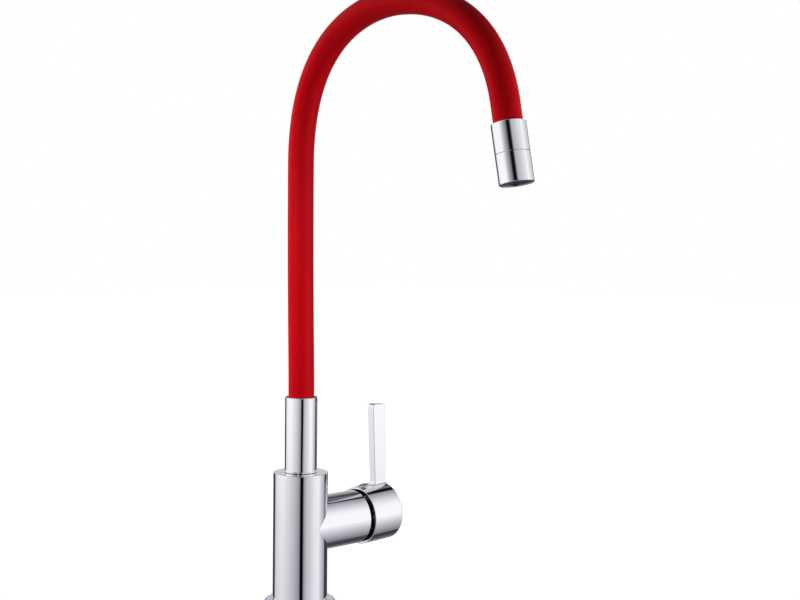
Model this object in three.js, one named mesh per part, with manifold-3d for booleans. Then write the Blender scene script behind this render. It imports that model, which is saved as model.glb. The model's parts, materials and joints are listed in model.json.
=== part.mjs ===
// Single-lever kitchen mixer tap with a flexible spout, in millimetres, +Z up.
// The origin is where the column's axis meets the deck.
// The spout reaches towards -Y and the lever sits on the +X side.
import * as THREE from 'three';
import { mergeVertices } from 'three/addons/utils/BufferGeometryUtils.js';
import Module from 'manifold-3d';

const wasm = await Module();
wasm.setup();

// Fits
const gap = 0.3;
const cutOverrun = 1;

// Column and the neck that stands in the base flange
const columnRadius = 23;
const columnHeight = 113.8;
const columnEdge = 0.5;
const neckRadius = 20.5;

// Base flange and the gasket in its underside
const flangeRadius = 30;
const flangeHeight = 6;
const flangeEdge = 2.5;
const gasketInnerRadius = 24.3;
const gasketWidth = 2.9;
const gasketHeight = 1.7;

// Side housing for the cartridge, along +X
const branchHeight = 67.6;
const housingRadius = 22.9;
const housingReach = 60.3;
const housingEdge = 0.6;

// Waterways of the body
const supplyPortRadius = 4.5;
const supplyPortDepth = 14;
const supplyPortForward = 6;
const supplyPortSpread = 8;
const supplyBoreRadius = 2.8;
const seatPortRise = 5;
const seatPortDrop = 7.5;
const mixedBoreRadius = 3.5;
const riserRadius = 5;
const riserBack = 4;

// Fixing under the deck
const deckThickness = 38;
const studRadius = 3.9;
const studLength = 78;
const studInset = 13.5;
const studBack = 12;
const clampRadius = 24;
const clampSlotHalfWidth = 13;
const clampSlotStart = -5;
const clampWasherThickness = 3;
const clampPlateThickness = 2.5;
const mountingNutRadius = 7.5;
const mountingNutThickness = 8;

// Cartridge, from its seat in the housing outwards
const seatDepth = 33.3;
const cartridgeRadius = 17.5;
const portSealRadius = 13;
const portSealThickness = 2;
const cartridgeBaseThickness = 3.6;
const locatingPinRadius = 1.6;
const locatingPinSpread = 15;
const locatingPinDepth = 2;
const fixedDiscRadius = 14.4;
const fixedDiscThickness = 4;
const movingDiscRadius = 12.4;
const movingDiscThickness = 3.5;
const mixingRecessDepth = 2;
const mixingRecessHalfWidth = 6.5;
const mixingRecessDrop = 8.4;
const mixingRecessRise = 3.7;
const carrierThickness = 4.4;
const carrierSocketDepth = 3.4;
const carrierSocketHalfWidth = 2.7;
const carrierSocketHalfHeight = 3.2;
const discChamberRadius = 15.6;
const guideFlangeRadius = 14;
const guideFlangeThickness = 2;
const guideRadius = 12.5;
const guideLength = 9;
const guideSlotHalfHeight = 5.2;
const cartridgeTopThickness = 1.9;
const cartridgeNeckLength = 6.5;
const cartridgeNeckWall = 2;
const pivotInset = 3.3;
const pivotPinRadius = 1.5;
const pivotPinHalfLength = 11.8;

// Spindle: a square bar with a round arm that drives the discs
const spindleHalfWidth = 3.8;
const spindleLength = 33;
const spindleBack = 4.5;
const spindleArmRadius = 2.4;
const spindleArmLength = 11;
const spindleLean = 12.5;
const armContactLength = 9.6;

// Cartridge nut and the dome ring over it
const nutSeatRadius = 20.3;
const nutThickness = 4.7;
const nutNotchWidth = 5;
const nutNotchDepth = 1.5;
const nutNotches = 4;
const domeWall = 1.2;
const domeOpeningRadius = 11;

// Lever handle, measured from the spindle's pivot
const grooveWidth = 3.6;
const leverLean = 2;
const capRadius = 24.9;
const capWall = 1.9;
const capEndWall = 3;
const capLength = 32;
const capEdge = 1.4;
const capRimEdge = 0.5;
const reliefDepth = 5.5;
const reliefHeight = 15;
const hubRadius = 9.5;
const hubStart = 22.5;
const bladeTopHeight = 95.6;
const bladeBaseWidth = 7.4;
const bladeTopWidth = 6.2;
const bladeBaseDepth = 13.2;
const bladeTopInset = 1.6;
const bladeTopDepth = 12.3;
const bladeInnerCorner = 3;
const bladeOuterCorner = 1;
const leverScrewRadius = 2.5;
const leverScrewLength = 6.5;
const leverScrewPlace = 30;
const leverPlugRadius = 3;
const leverPlugLength = 2;

// Spout collar, its spigot in the column and what seals and holds it
const collarRadius = 13.56;
const collarHeight = 63.5;
const collarEdge = 0.4;
const slipRingThickness = 1;
const slipRingInset = 0.4;
const spigotRadius = 12.1;
const spigotWallToBore = 0.4;
const spigotLength = 27.4;
const chamberDepth = 27.8;
const spigotBoreRadius = 6.5;
const sealRadius = 11.4;
const sealSection = 0.8;
const lowerSealDepth = 21.1;
const upperSealDepth = 5.8;
const screwGrooveDepth = 13.8;
const screwGrooveHalfWidth = 2.7;
const screwGrooveRadius = 10.6;
const setScrewRadius = 2;
const setScrewLength = 8;

// Flexible spout: sleeve over gooseneck core over water hose
const sleeveRadius = 10.8;
const sleeveBore = 8.3;
const coreRadius = 7.9;
const coreBore = 6.3;
const hoseRadius = 5.9;
const hoseBore = 4.1;
const socketClearance = 0.3;
const nippleFlangeRadius = 10.7;
const nippleFlangeThickness = 3.6;
const nippleThreadRadius = 8.7;
const nippleThreadLength = 13.2;
const nippleStemRadius = 3.6;
const nippleStemLength = 19;
const nippleBore = 2.6;
const socketDepth = 33.4;

// Line of the spout in its own plane
const spoutReach = 228.9;
const outletHeight = 395.1;
const outletTilt = 11.8;
const legBow = 2.8;
const legBowHeight = 372.7;
const archTop = 493.8;
const archTopReach = 110.3;
const tipStraight = 15;
const legLowHandleShare = 0.18;
const legHighHandleShare = 0.57;
const riseHandleShare = 0.91;
const topBackHandleShare = 0.24;
const topFrontHandleShare = 0.44;
const tipHandleShare = 0.62;

// Outlet: ferrule, aerator housing and what they hold
const outletRadius = 12.8;
const outletEdge = 0.4;
const ferruleLength = 22;
const outletSocketDepth = 15;
const outletSpigotRadius = 11;
const outletSpigotLength = 8;
const upperNippleThreadLength = 9;
const aeratorHousingLength = 21.8;
const aeratorLipThickness = 1.2;
const aeratorLipRadius = 10.2;
const aeratorSealThickness = 2;
const aeratorSealBore = 7.5;
const aeratorInsertRadius = 10.9;
const aeratorInsertWall = 1.6;
const aeratorPlateThickness = 2;
const aeratorJetRadius = 1.2;
const aeratorJetRing = 5.5;
const aeratorJets = 6;
const straightenerThickness = 3.7;
const straightenerCellRadius = 1.3;
const straightenerPitch = 3.4;
const straightenerRim = 0.8;

// Facets
const largeSides = 36;
const mediumSides = 24;
const smallSides = 12;
const tinySides = 8;
const cellSides = 6;
const hexSides = 6;
const edgeSteps = 3;
const domeSteps = 4;
const sleeveSides = 20;
const sleeveBoreSides = 10;
const hoseSides = 8;
const hoseBoreSides = 8;
const spoutSteps = 36;

const degrees = THREE.MathUtils.degToRad;

// A geometry as a solid for joining and cutting
function solidOf(geometry) {
  const bare = geometry.clone();
  bare.deleteAttribute('normal');
  bare.deleteAttribute('uv');
  const merged = mergeVertices(bare);
  const corners = merged.index.array;
  const triVerts = [];
  for (let i = 0; i < corners.length; i += 3) {
    const [a, b, c] = corners.slice(i, i + 3);
    if (a !== b && b !== c && c !== a) triVerts.push(a, b, c);
  }
  return new wasm.Manifold(new wasm.Mesh({
    numProp: 3,
    vertProperties: new Float32Array(merged.attributes.position.array),
    triVerts: new Uint32Array(triVerts),
  }));
}

function geometryOf(solid) {
  const mesh = solid.getMesh();
  const geometry = new THREE.BufferGeometry();
  geometry.setAttribute('position', new THREE.BufferAttribute(mesh.vertProperties, 3));
  geometry.setIndex(new THREE.BufferAttribute(mesh.triVerts, 1));
  geometry.computeVertexNormals();
  return geometry;
}

function join(first, ...others) {
  let solid = solidOf(first);
  for (const other of others) solid = solid.add(solidOf(other));
  return geometryOf(solid);
}

function cut(first, ...tools) {
  let solid = solidOf(first);
  for (const tool of tools) solid = solid.subtract(solidOf(tool));
  return geometryOf(solid);
}

// A solid turned around Z from [radius, height] points, listed up its outer side and down its inner one
function turned(profile, sides = largeSides) {
  const points = profile.map(([radius, height]) => new THREE.Vector2(radius, height));
  const closed = points[0].x === 0 && points[points.length - 1].x === 0;
  if (!closed) points.push(points[0].clone());
  return new THREE.LatheGeometry(points, sides).rotateX(degrees(90));
}

function ring(innerRadius, outerRadius, bottom, top, sides = largeSides) {
  const outer = [[outerRadius, bottom], [outerRadius, top]];
  return turned([[innerRadius, bottom], ...outer, [innerRadius, top]], sides);
}

function rod(radius, bottom, top, sides = mediumSides) {
  return turned([[0, bottom], [radius, bottom], [radius, top], [0, top]], sides);
}

function block(low, high) {
  const size = low.map((value, i) => high[i] - value);
  const centre = low.map((value, i) => (high[i] + value) / 2);
  return new THREE.BoxGeometry(...size).translate(...centre);
}

// [radius, height] points of a rounded outer edge, from angle to angle in degrees
function rounding(centreRadius, centreHeight, radius, from, to, steps = edgeSteps) {
  const points = [];
  for (let i = 0; i <= steps; i += 1) {
    const angle = degrees(from + (to - from) * i / steps);
    points.push([centreRadius + radius * Math.cos(angle), centreHeight + radius * Math.sin(angle)]);
  }
  return points;
}

const alongX = (geometry) => geometry.rotateY(degrees(90));
const alongY = (geometry) => geometry.rotateX(degrees(-90));

function polygon(radius, sides) {
  const points = [];
  for (let i = 0; i < sides; i += 1) {
    const angle = degrees(360) * i / sides;
    points.push(new THREE.Vector2(radius * Math.cos(angle), radius * Math.sin(angle)));
  }
  return points;
}

// Heights and reaches that several pieces share
const collarTop = columnHeight + collarHeight;
const chamberFloor = columnHeight - chamberDepth;
const spigotTop = columnHeight + slipRingThickness + 2 * gap;
const spigotBottom = columnHeight - spigotLength + gap;
const chamberRadius = spigotRadius + spigotWallToBore;
const socketRadius = sleeveRadius + socketClearance;
const nippleThreadBore = nippleThreadRadius + gap;
const spoutFoot = collarTop - socketDepth;
const nippleFlangeBottom = spoutFoot - gap - nippleFlangeThickness;
const seatHeight = nippleFlangeBottom - gap;

const seatReach = housingReach - seatDepth;
const portSealStart = seatReach + gap;
const cartridgeBaseStart = portSealStart + portSealThickness + gap;
const fixedDiscStart = cartridgeBaseStart + cartridgeBaseThickness + gap;
const movingDiscStart = fixedDiscStart + fixedDiscThickness + gap;
const carrierStart = movingDiscStart + movingDiscThickness + gap;
const guideStart = carrierStart + carrierThickness + gap;
const guideFlangeEnd = guideStart + guideFlangeThickness;
const guideEnd = guideFlangeEnd + guideLength;
const discChamberEnd = guideFlangeEnd + gap;
const cartridgeShoulder = discChamberEnd + cartridgeTopThickness;
const cartridgeNeckEnd = cartridgeShoulder + cartridgeNeckLength;
const guideBore = guideRadius + gap;
const cartridgeNeckRadius = guideBore + cartridgeNeckWall;
const cartridgeBoreRadius = cartridgeRadius + gap;
const nutSeatReach = cartridgeShoulder - gap;
const nutStart = cartridgeShoulder + gap;
const nutEnd = nutStart + nutThickness;
const nutRadius = nutSeatRadius - gap;
const pivotReach = guideEnd - pivotInset;
const pivotHeight = branchHeight;
const discDrop = armContactLength * Math.sin(degrees(spindleLean));

const screwHeight = columnHeight - screwGrooveDepth;
const seatPorts = [
  [supplyPortSpread, seatPortRise],
  [-supplyPortSpread, seatPortRise],
  [0, -seatPortDrop],
];

// A round bore along X, at [across, up] from the branch axis
function portBore(place, radius, from, to) {
  const [across, up] = place;
  return alongX(rod(radius, from, to, smallSides)).translate(0, across, up);
}

// The three seat ports, right through a cartridge piece that lies from one reach to another
function portsThrough(radius, from, to) {
  return seatPorts.map((place) => portBore(place, radius, from - cutOverrun, to + cutOverrun));
}

// Body

function bodyCasting() {
  const column = turned([
    [0, 0],
    [neckRadius, 0],
    [neckRadius, flangeHeight + gap],
    [columnRadius, flangeHeight + gap],
    [columnRadius, columnHeight - columnEdge],
    [columnRadius - columnEdge, columnHeight],
    [0, columnHeight],
  ]);
  const housing = alongX(turned([
    [0, 0],
    [housingRadius, 0],
    [housingRadius, housingReach - housingEdge],
    [housingRadius - housingEdge, housingReach],
    [0, housingReach],
  ])).translate(0, 0, branchHeight);
  const cartridgeCavity = alongX(turned([
    [0, seatReach],
    [cartridgeBoreRadius, seatReach],
    [cartridgeBoreRadius, nutSeatReach],
    [nutSeatRadius, nutSeatReach],
    [nutSeatRadius, housingReach + cutOverrun],
    [0, housingReach + cutOverrun],
  ])).translate(0, 0, branchHeight);
  const spoutChamber = rod(chamberRadius, chamberFloor, columnHeight + cutOverrun, largeSides);
  const mixedHeight = branchHeight - seatPortDrop;
  const riser = rod(riserRadius, mixedHeight - riserRadius, chamberFloor + cutOverrun, smallSides)
    .translate(-riserBack, 0, 0);
  const mixedBore = alongX(rod(mixedBoreRadius, -riserBack, seatReach + cutOverrun, smallSides))
    .translate(0, 0, mixedHeight);
  const studHole = rod(studRadius + gap, -cutOverrun, studInset + gap, smallSides)
    .translate(-studBack, 0, 0);
  const setScrewHole = alongY(rod(setScrewRadius + gap, 0, columnRadius + cutOverrun, smallSides))
    .translate(0, 0, screwHeight);
  const supplyHeight = branchHeight + seatPortRise;
  const supplies = [-1, 1].flatMap((side) => {
    const across = side * supplyPortSpread;
    return [
      rod(supplyPortRadius, -cutOverrun, supplyPortDepth, smallSides).translate(supplyPortForward, across, 0),
      rod(supplyBoreRadius, 0, supplyHeight, smallSides).translate(supplyPortForward, across, 0),
      portBore([across, 0], supplyBoreRadius, supplyPortForward - supplyBoreRadius, seatReach + cutOverrun)
        .translate(0, 0, supplyHeight),
    ];
  });
  const pinHoles = [-1, 1].map((side) => portBore(
    [side * locatingPinSpread, 0],
    locatingPinRadius + gap,
    seatReach - locatingPinDepth - gap,
    seatReach + cutOverrun,
  ).translate(0, 0, branchHeight));
  return cut(
    join(column, housing),
    cartridgeCavity,
    spoutChamber,
    riser,
    mixedBore,
    studHole,
    setScrewHole,
    ...supplies,
    ...pinHoles,
  );
}

function baseFlange() {
  const grooveInner = gasketInnerRadius - gap;
  const grooveOuter = gasketInnerRadius + gasketWidth + gap;
  const grooveTop = gasketHeight + gap;
  return turned([
    [neckRadius + gap, 0],
    [grooveInner, 0],
    [grooveInner, grooveTop],
    [grooveOuter, grooveTop],
    [grooveOuter, 0],
    [flangeRadius, 0],
    ...rounding(flangeRadius - flangeEdge, flangeHeight - flangeEdge, flangeEdge, 0, 90),
    [neckRadius + gap, flangeHeight],
  ]);
}

const baseGasket = () => ring(gasketInnerRadius, gasketInnerRadius + gasketWidth, 0, gasketHeight);

// Fixing under the deck

const mountingStud = () => rod(studRadius, studInset - studLength, studInset, smallSides)
  .translate(-studBack, 0, 0);

function clampPiece(radius, top, thickness) {
  const bottom = top - thickness;
  const disc = rod(radius, bottom, top, mediumSides);
  const slot = block(
    [clampSlotStart, -clampSlotHalfWidth, bottom - cutOverrun],
    [radius + cutOverrun, clampSlotHalfWidth, top + cutOverrun],
  );
  const hole = rod(studRadius + gap, bottom - cutOverrun, top + cutOverrun, smallSides)
    .translate(-studBack, 0, 0);
  return cut(disc, slot, hole);
}

const clampPlateTop = -deckThickness - clampWasherThickness - gap;
const mountingNutTop = clampPlateTop - clampPlateThickness - gap;

function mountingNut() {
  const bottom = mountingNutTop - mountingNutThickness;
  const hex = rod(mountingNutRadius, bottom, mountingNutTop, hexSides);
  const thread = rod(studRadius + gap, bottom - cutOverrun, mountingNutTop + cutOverrun, smallSides);
  return cut(hex, thread).translate(-studBack, 0, 0);
}

// Cartridge, drawn along X from the branch axis and raised to it by its group

function portSeal() {
  const end = portSealStart + portSealThickness;
  const disc = alongX(rod(portSealRadius, portSealStart, end, mediumSides));
  return cut(disc, ...portsThrough(supplyBoreRadius + gap, portSealStart, end));
}

function cartridgeBase() {
  const end = cartridgeBaseStart + cartridgeBaseThickness;
  const disc = alongX(rod(cartridgeRadius, cartridgeBaseStart, end, largeSides));
  const pins = [-1, 1].map((side) => portBore(
    [side * locatingPinSpread, 0],
    locatingPinRadius,
    seatReach - locatingPinDepth,
    cartridgeBaseStart + gap,
  ));
  return cut(join(disc, ...pins), ...portsThrough(supplyBoreRadius, cartridgeBaseStart, end));
}

function fixedDisc() {
  const end = fixedDiscStart + fixedDiscThickness;
  const disc = alongX(rod(fixedDiscRadius, fixedDiscStart, end, mediumSides));
  return cut(disc, ...portsThrough(supplyBoreRadius, fixedDiscStart, end));
}

function movingDisc() {
  const end = movingDiscStart + movingDiscThickness;
  const disc = alongX(rod(movingDiscRadius, movingDiscStart, end, mediumSides));
  const recess = block(
    [movingDiscStart - cutOverrun, -mixingRecessHalfWidth, -mixingRecessDrop],
    [movingDiscStart + mixingRecessDepth, mixingRecessHalfWidth, mixingRecessRise],
  );
  return cut(disc, recess);
}

function discCarrier() {
  const end = carrierStart + carrierThickness;
  const disc = alongX(rod(movingDiscRadius, carrierStart, end, mediumSides));
  const socket = block(
    [end - carrierSocketDepth, -carrierSocketHalfWidth, -carrierSocketHalfHeight],
    [end + cutOverrun, carrierSocketHalfWidth, carrierSocketHalfHeight],
  );
  return cut(disc, socket);
}

function cartridgeHousing() {
  return alongX(turned([
    [discChamberRadius, fixedDiscStart],
    [cartridgeRadius, fixedDiscStart],
    [cartridgeRadius, cartridgeShoulder],
    [cartridgeNeckRadius, cartridgeShoulder],
    [cartridgeNeckRadius, cartridgeNeckEnd],
    [guideBore, cartridgeNeckEnd],
    [guideBore, discChamberEnd],
    [discChamberRadius, discChamberEnd],
  ]));
}

const pinBoreRadius = pivotPinRadius + gap;

function spindleGuide() {
  const guide = alongX(turned([
    [0, guideStart],
    [guideFlangeRadius, guideStart],
    [guideFlangeRadius, guideFlangeEnd],
    [guideRadius, guideFlangeEnd],
    [guideRadius, guideEnd],
    [0, guideEnd],
  ], mediumSides));
  const slotHalfWidth = spindleHalfWidth + gap;
  const slot = block(
    [guideStart - cutOverrun, -slotHalfWidth, -guideSlotHalfHeight],
    [guideEnd + cutOverrun, slotHalfWidth, guideSlotHalfHeight],
  );
  const pinBore = alongY(rod(pinBoreRadius, -guideRadius - cutOverrun, guideRadius + cutOverrun, tinySides))
    .translate(pivotReach, 0, 0);
  return cut(guide, slot, pinBore);
}

const pivotPin = () => alongY(rod(pivotPinRadius, -pivotPinHalfLength, pivotPinHalfLength, tinySides));

// The square bar and its arm lie along X through the pivot at the origin
function spindle() {
  const bar = block(
    [-spindleBack, -spindleHalfWidth, -spindleHalfWidth],
    [spindleLength, spindleHalfWidth, spindleHalfWidth],
  );
  const arm = alongX(rod(spindleArmRadius, -spindleArmLength, 0, tinySides));
  const boreReach = spindleHalfWidth + cutOverrun;
  const pinBore = alongY(rod(pinBoreRadius, -boreReach, boreReach, tinySides));
  return cut(join(bar, arm), pinBore);
}

function retainingNut() {
  const nut = alongX(ring(cartridgeNeckRadius + gap, nutRadius, nutStart, nutEnd));
  const notches = [];
  for (let i = 0; i < nutNotches; i += 1) {
    notches.push(block(
      [nutEnd - nutNotchDepth, 0, -nutNotchWidth / 2],
      [nutEnd + cutOverrun, nutRadius + cutOverrun, nutNotchWidth / 2],
    ).rotateX(degrees(360) * i / nutNotches));
  }
  return cut(nut, ...notches);
}

// A skirt in the housing's mouth, then a dome around the pivot that the lever's cap swings over
function domeRing() {
  const skirtEnd = housingReach + gap;
  const domeRadius = Math.hypot(nutRadius, skirtEnd - pivotReach);
  const innerRadius = domeRadius - domeWall;
  const skirtInner = nutRadius - domeWall;
  const angleAt = (radius, height) => THREE.MathUtils.radToDeg(Math.asin(height / radius));
  const outerStart = THREE.MathUtils.radToDeg(Math.acos(nutRadius / domeRadius));
  const outerEnd = THREE.MathUtils.radToDeg(Math.acos(domeOpeningRadius / domeRadius));
  const innerStart = THREE.MathUtils.radToDeg(Math.acos(skirtInner / innerRadius));
  const innerEnd = angleAt(innerRadius, Math.sqrt(innerRadius ** 2 - domeOpeningRadius ** 2));
  return alongX(turned([
    [skirtInner, nutEnd + gap],
    [nutRadius, nutEnd + gap],
    ...rounding(0, pivotReach, domeRadius, outerStart, outerEnd, domeSteps),
    ...rounding(0, pivotReach, innerRadius, innerEnd, innerStart, domeSteps),
  ]));
}

// Lever handle, drawn around the pivot with the cap's axis along X

const capStart = housingReach + grooveWidth - pivotReach;
const capEnd = capStart + capLength;
const capBore = capRadius - capWall;
const socketLean = spindleLean - leverLean;
const socketSlope = Math.tan(degrees(socketLean));
const screwAxisHeight = leverScrewPlace * socketSlope;
const socketFloor = screwAxisHeight - spindleHalfWidth / Math.cos(degrees(socketLean));
const screwTop = socketFloor - leverScrewRadius * socketSlope - gap;

function capShell() {
  const shell = alongX(turned([
    [capBore, capStart],
    [capRadius - capRimEdge, capStart],
    [capRadius, capStart + capRimEdge],
    ...rounding(capRadius - capEdge, capEnd - capEdge, capEdge, 0, 90),
    [0, capEnd],
    [0, capEnd - capEndWall],
    [capBore, capEnd - capEndWall],
  ]));
  const relief = block(
    [-reliefDepth - cutOverrun, -capRadius - cutOverrun, -2 * reliefHeight],
    [0, capRadius + cutOverrun, 0],
  ).rotateY(Math.atan2(reliefDepth, reliefHeight)).translate(capStart, 0, reliefHeight - capRadius);
  return cut(shell, relief);
}

// The blade's side outline runs up from inside the cap's wall, and it narrows towards its top
function blade() {
  const bottom = (capBore + capRadius) / 2 - gap;
  const outerBottom = capEnd;
  const innerBottom = capEnd - bladeBaseDepth;
  const outerTop = capEnd - bladeTopInset;
  const innerTop = outerTop - bladeTopDepth;
  const outerCorner = [outerTop - bladeOuterCorner, bladeTopHeight - bladeOuterCorner];
  const innerCorner = [innerTop + bladeInnerCorner, bladeTopHeight - bladeInnerCorner];
  const outline = new THREE.Shape();
  outline.moveTo(innerBottom, bottom);
  outline.lineTo(outerBottom, bottom);
  outline.lineTo(outerTop, bladeTopHeight - bladeOuterCorner);
  outline.absarc(...outerCorner, bladeOuterCorner, 0, degrees(90));
  outline.absarc(...innerCorner, bladeInnerCorner, degrees(90), degrees(180));
  const settings = { depth: bladeBaseWidth, bevelEnabled: false, curveSegments: edgeSteps };
  const sides = new THREE.ExtrudeGeometry(outline, settings);
  const upright = sides.translate(0, 0, -bladeBaseWidth / 2).rotateX(degrees(90));
  const place = upright.attributes.position;
  const lostShare = 1 - bladeTopWidth / bladeBaseWidth;
  for (let i = 0; i < place.count; i += 1) {
    const riseShare = (place.getZ(i) - bottom) / (bladeTopHeight - bottom);
    place.setY(i, place.getY(i) * (1 - lostShare * riseShare));
  }
  return upright;
}

function leverHandle() {
  const hubLift = socketSlope * (hubStart + capEnd) / 2;
  const hub = alongX(rod(hubRadius, hubStart, capEnd - capEndWall + gap, mediumSides))
    .translate(0, 0, hubLift);
  const socketHalf = spindleHalfWidth + gap;
  const socket = block([0, -socketHalf, -socketHalf], [spindleLength + gap, socketHalf, socketHalf])
    .rotateY(degrees(-socketLean));
  const screwBore = rod(leverScrewRadius + gap, -capBore, screwAxisHeight, smallSides)
    .translate(leverScrewPlace, 0, 0);
  const plugBore = rod(leverPlugRadius + gap, -capRadius - cutOverrun, -capBore + cutOverrun, smallSides)
    .translate(leverScrewPlace, 0, 0);
  return cut(join(capShell(), hub, blade()), socket, screwBore, plugBore);
}

const leverScrew = () => rod(leverScrewRadius, screwTop - leverScrewLength, screwTop, smallSides);

const leverPlug = () => rod(
  leverPlugRadius,
  gap - capRadius,
  gap - capRadius + leverPlugLength,
  smallSides,
);

// Spout collar and its small parts

function grooved(height, radius, halfWidth) {
  return [
    [spigotRadius, height - halfWidth],
    [radius, height - halfWidth],
    [radius, height + halfWidth],
    [spigotRadius, height + halfWidth],
  ];
}

const sealHeights = [columnHeight - lowerSealDepth, columnHeight - upperSealDepth];

function spoutCollar() {
  const sealGrooveRadius = sealRadius - sealSection - gap;
  const sealGrooveHalfWidth = sealSection + gap;
  return turned([
    [spigotBoreRadius, spigotBottom],
    [spigotRadius, spigotBottom],
    ...grooved(sealHeights[0], sealGrooveRadius, sealGrooveHalfWidth),
    ...grooved(screwHeight, screwGrooveRadius, screwGrooveHalfWidth),
    ...grooved(sealHeights[1], sealGrooveRadius, sealGrooveHalfWidth),
    [spigotRadius, spigotTop],
    [collarRadius, spigotTop],
    [collarRadius, collarTop - collarEdge],
    [collarRadius - collarEdge, collarTop],
    [socketRadius, collarTop],
    [socketRadius, seatHeight],
    [nippleThreadBore, seatHeight],
    [nippleThreadBore, nippleFlangeBottom - nippleThreadLength - gap],
    [spigotBoreRadius, nippleFlangeBottom - nippleThreadLength - gap],
  ]);
}

const slipRing = () => ring(
  spigotRadius + gap,
  collarRadius - slipRingInset,
  columnHeight + gap,
  columnHeight + gap + slipRingThickness,
);

const collarSeal = () => new THREE.TorusGeometry(sealRadius, sealSection, cellSides, mediumSides);

const setScrew = () => alongY(rod(
  setScrewRadius,
  screwGrooveRadius + gap,
  screwGrooveRadius + gap + setScrewLength,
  smallSides,
));

// A nipple with its flange's top face at the origin, its stem up the hose and its thread below
function nipple(threadLength) {
  return turned([
    [nippleBore, -nippleFlangeThickness - threadLength],
    [nippleThreadRadius, -nippleFlangeThickness - threadLength],
    [nippleThreadRadius, -nippleFlangeThickness],
    [nippleFlangeRadius, -nippleFlangeThickness],
    [nippleFlangeRadius, 0],
    [nippleStemRadius, 0],
    [nippleStemRadius, nippleStemLength],
    [nippleBore, nippleStemLength],
  ], mediumSides);
}

// The spout's line: straight in the collar, up the bowed leg, over the arch and straight into the ferrule
function spoutLine() {
  const at = (reach, height) => new THREE.Vector3(0, -reach, height);
  const tilt = degrees(outletTilt);
  const onTip = (back) => at(spoutReach - back * Math.sin(tilt), outletHeight + back * Math.cos(tilt));
  const legSpan = legBowHeight - collarTop;
  const rise = archTop - legBowHeight;
  const tipHandle = tipStraight + tipHandleShare * (archTop - outletHeight);
  const line = new THREE.CurvePath();
  line.add(new THREE.LineCurve3(at(0, spoutFoot), at(0, collarTop)));
  line.add(new THREE.CubicBezierCurve3(
    at(0, collarTop),
    at(0, collarTop + legLowHandleShare * legSpan),
    at(-legBow, legBowHeight - legHighHandleShare * legSpan),
    at(-legBow, legBowHeight),
  ));
  line.add(new THREE.CubicBezierCurve3(
    at(-legBow, legBowHeight),
    at(-legBow, legBowHeight + riseHandleShare * rise),
    at(archTopReach - topBackHandleShare * (archTopReach + legBow), archTop),
    at(archTopReach, archTop),
  ));
  line.add(new THREE.CubicBezierCurve3(
    at(archTopReach, archTop),
    at(archTopReach + topFrontHandleShare * (spoutReach - archTopReach), archTop),
    onTip(tipHandle),
    onTip(tipStraight),
  ));
  line.add(new THREE.LineCurve3(onTip(tipStraight), onTip(-outletSocketDepth)));
  return line;
}

function spoutTube(radius, boreRadius, sides, boreSides) {
  const section = new THREE.Shape(polygon(radius, sides));
  section.holes.push(new THREE.Path(polygon(boreRadius, boreSides)));
  const settings = { steps: spoutSteps, bevelEnabled: false, extrudePath: spoutLine() };
  return new THREE.ExtrudeGeometry(section, settings);
}

// Outlet, drawn below the origin, which is the middle of the ferrule's top face

function outletFerrule() {
  const seat = -outletSocketDepth - nippleFlangeThickness - 2 * gap;
  return turned([
    [nippleThreadBore, -ferruleLength - outletSpigotLength],
    [outletSpigotRadius, -ferruleLength - outletSpigotLength],
    [outletSpigotRadius, -ferruleLength],
    [outletRadius, -ferruleLength],
    [outletRadius, -outletEdge],
    [outletRadius - outletEdge, 0],
    [socketRadius, 0],
    [socketRadius, seat],
    [nippleThreadBore, seat],
  ]);
}

const aeratorHousingTop = -ferruleLength - gap;
const aeratorFace = aeratorHousingTop - aeratorHousingLength;
const aeratorLipTop = aeratorFace + aeratorLipThickness;
const aeratorSealTop = -ferruleLength - outletSpigotLength - gap;
const aeratorInsertTop = aeratorSealTop - aeratorSealThickness - gap;
const aeratorInsertBottom = aeratorLipTop + gap;
const aeratorInsertBore = aeratorInsertRadius - aeratorInsertWall;

function aeratorHousing() {
  const bore = outletSpigotRadius + gap;
  return turned([
    [aeratorLipRadius, aeratorFace],
    [outletRadius - outletEdge, aeratorFace],
    [outletRadius, aeratorFace + outletEdge],
    [outletRadius, aeratorHousingTop],
    [bore, aeratorHousingTop],
    [bore, aeratorLipTop],
    [aeratorLipRadius, aeratorLipTop],
  ]);
}

const aeratorSeal = () => ring(
  aeratorSealBore,
  aeratorInsertRadius,
  aeratorSealTop - aeratorSealThickness,
  aeratorSealTop,
  mediumSides,
);

function aeratorInsert() {
  const plateBottom = aeratorInsertTop - aeratorPlateThickness;
  const cup = turned([
    [0, plateBottom],
    [aeratorInsertBore, plateBottom],
    [aeratorInsertBore, aeratorInsertBottom],
    [aeratorInsertRadius, aeratorInsertBottom],
    [aeratorInsertRadius, aeratorInsertTop],
    [0, aeratorInsertTop],
  ], mediumSides);
  const jets = [];
  for (let i = 0; i < aeratorJets; i += 1) {
    jets.push(rod(aeratorJetRadius, plateBottom - cutOverrun, aeratorInsertTop + cutOverrun, cellSides)
      .translate(aeratorJetRing, 0, 0)
      .rotateZ(degrees(360) * i / aeratorJets));
  }
  return cut(cup, ...jets);
}

function flowStraightener() {
  const bottom = aeratorInsertBottom + gap;
  const top = bottom + straightenerThickness;
  const radius = aeratorInsertBore - gap;
  const rings = Math.floor((radius - straightenerRim - straightenerCellRadius) / straightenerPitch);
  const cells = [rod(straightenerCellRadius, bottom - cutOverrun, top + cutOverrun, cellSides)];
  for (let turn = 1; turn <= rings; turn += 1) {
    const count = hexSides * turn;
    for (let i = 0; i < count; i += 1) {
      cells.push(rod(straightenerCellRadius, bottom - cutOverrun, top + cutOverrun, cellSides)
        .translate(turn * straightenerPitch, 0, 0)
        .rotateZ(degrees(360) * i / count));
    }
  }
  return cut(rod(radius, bottom, top, mediumSides), ...cells);
}

// Materials

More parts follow.
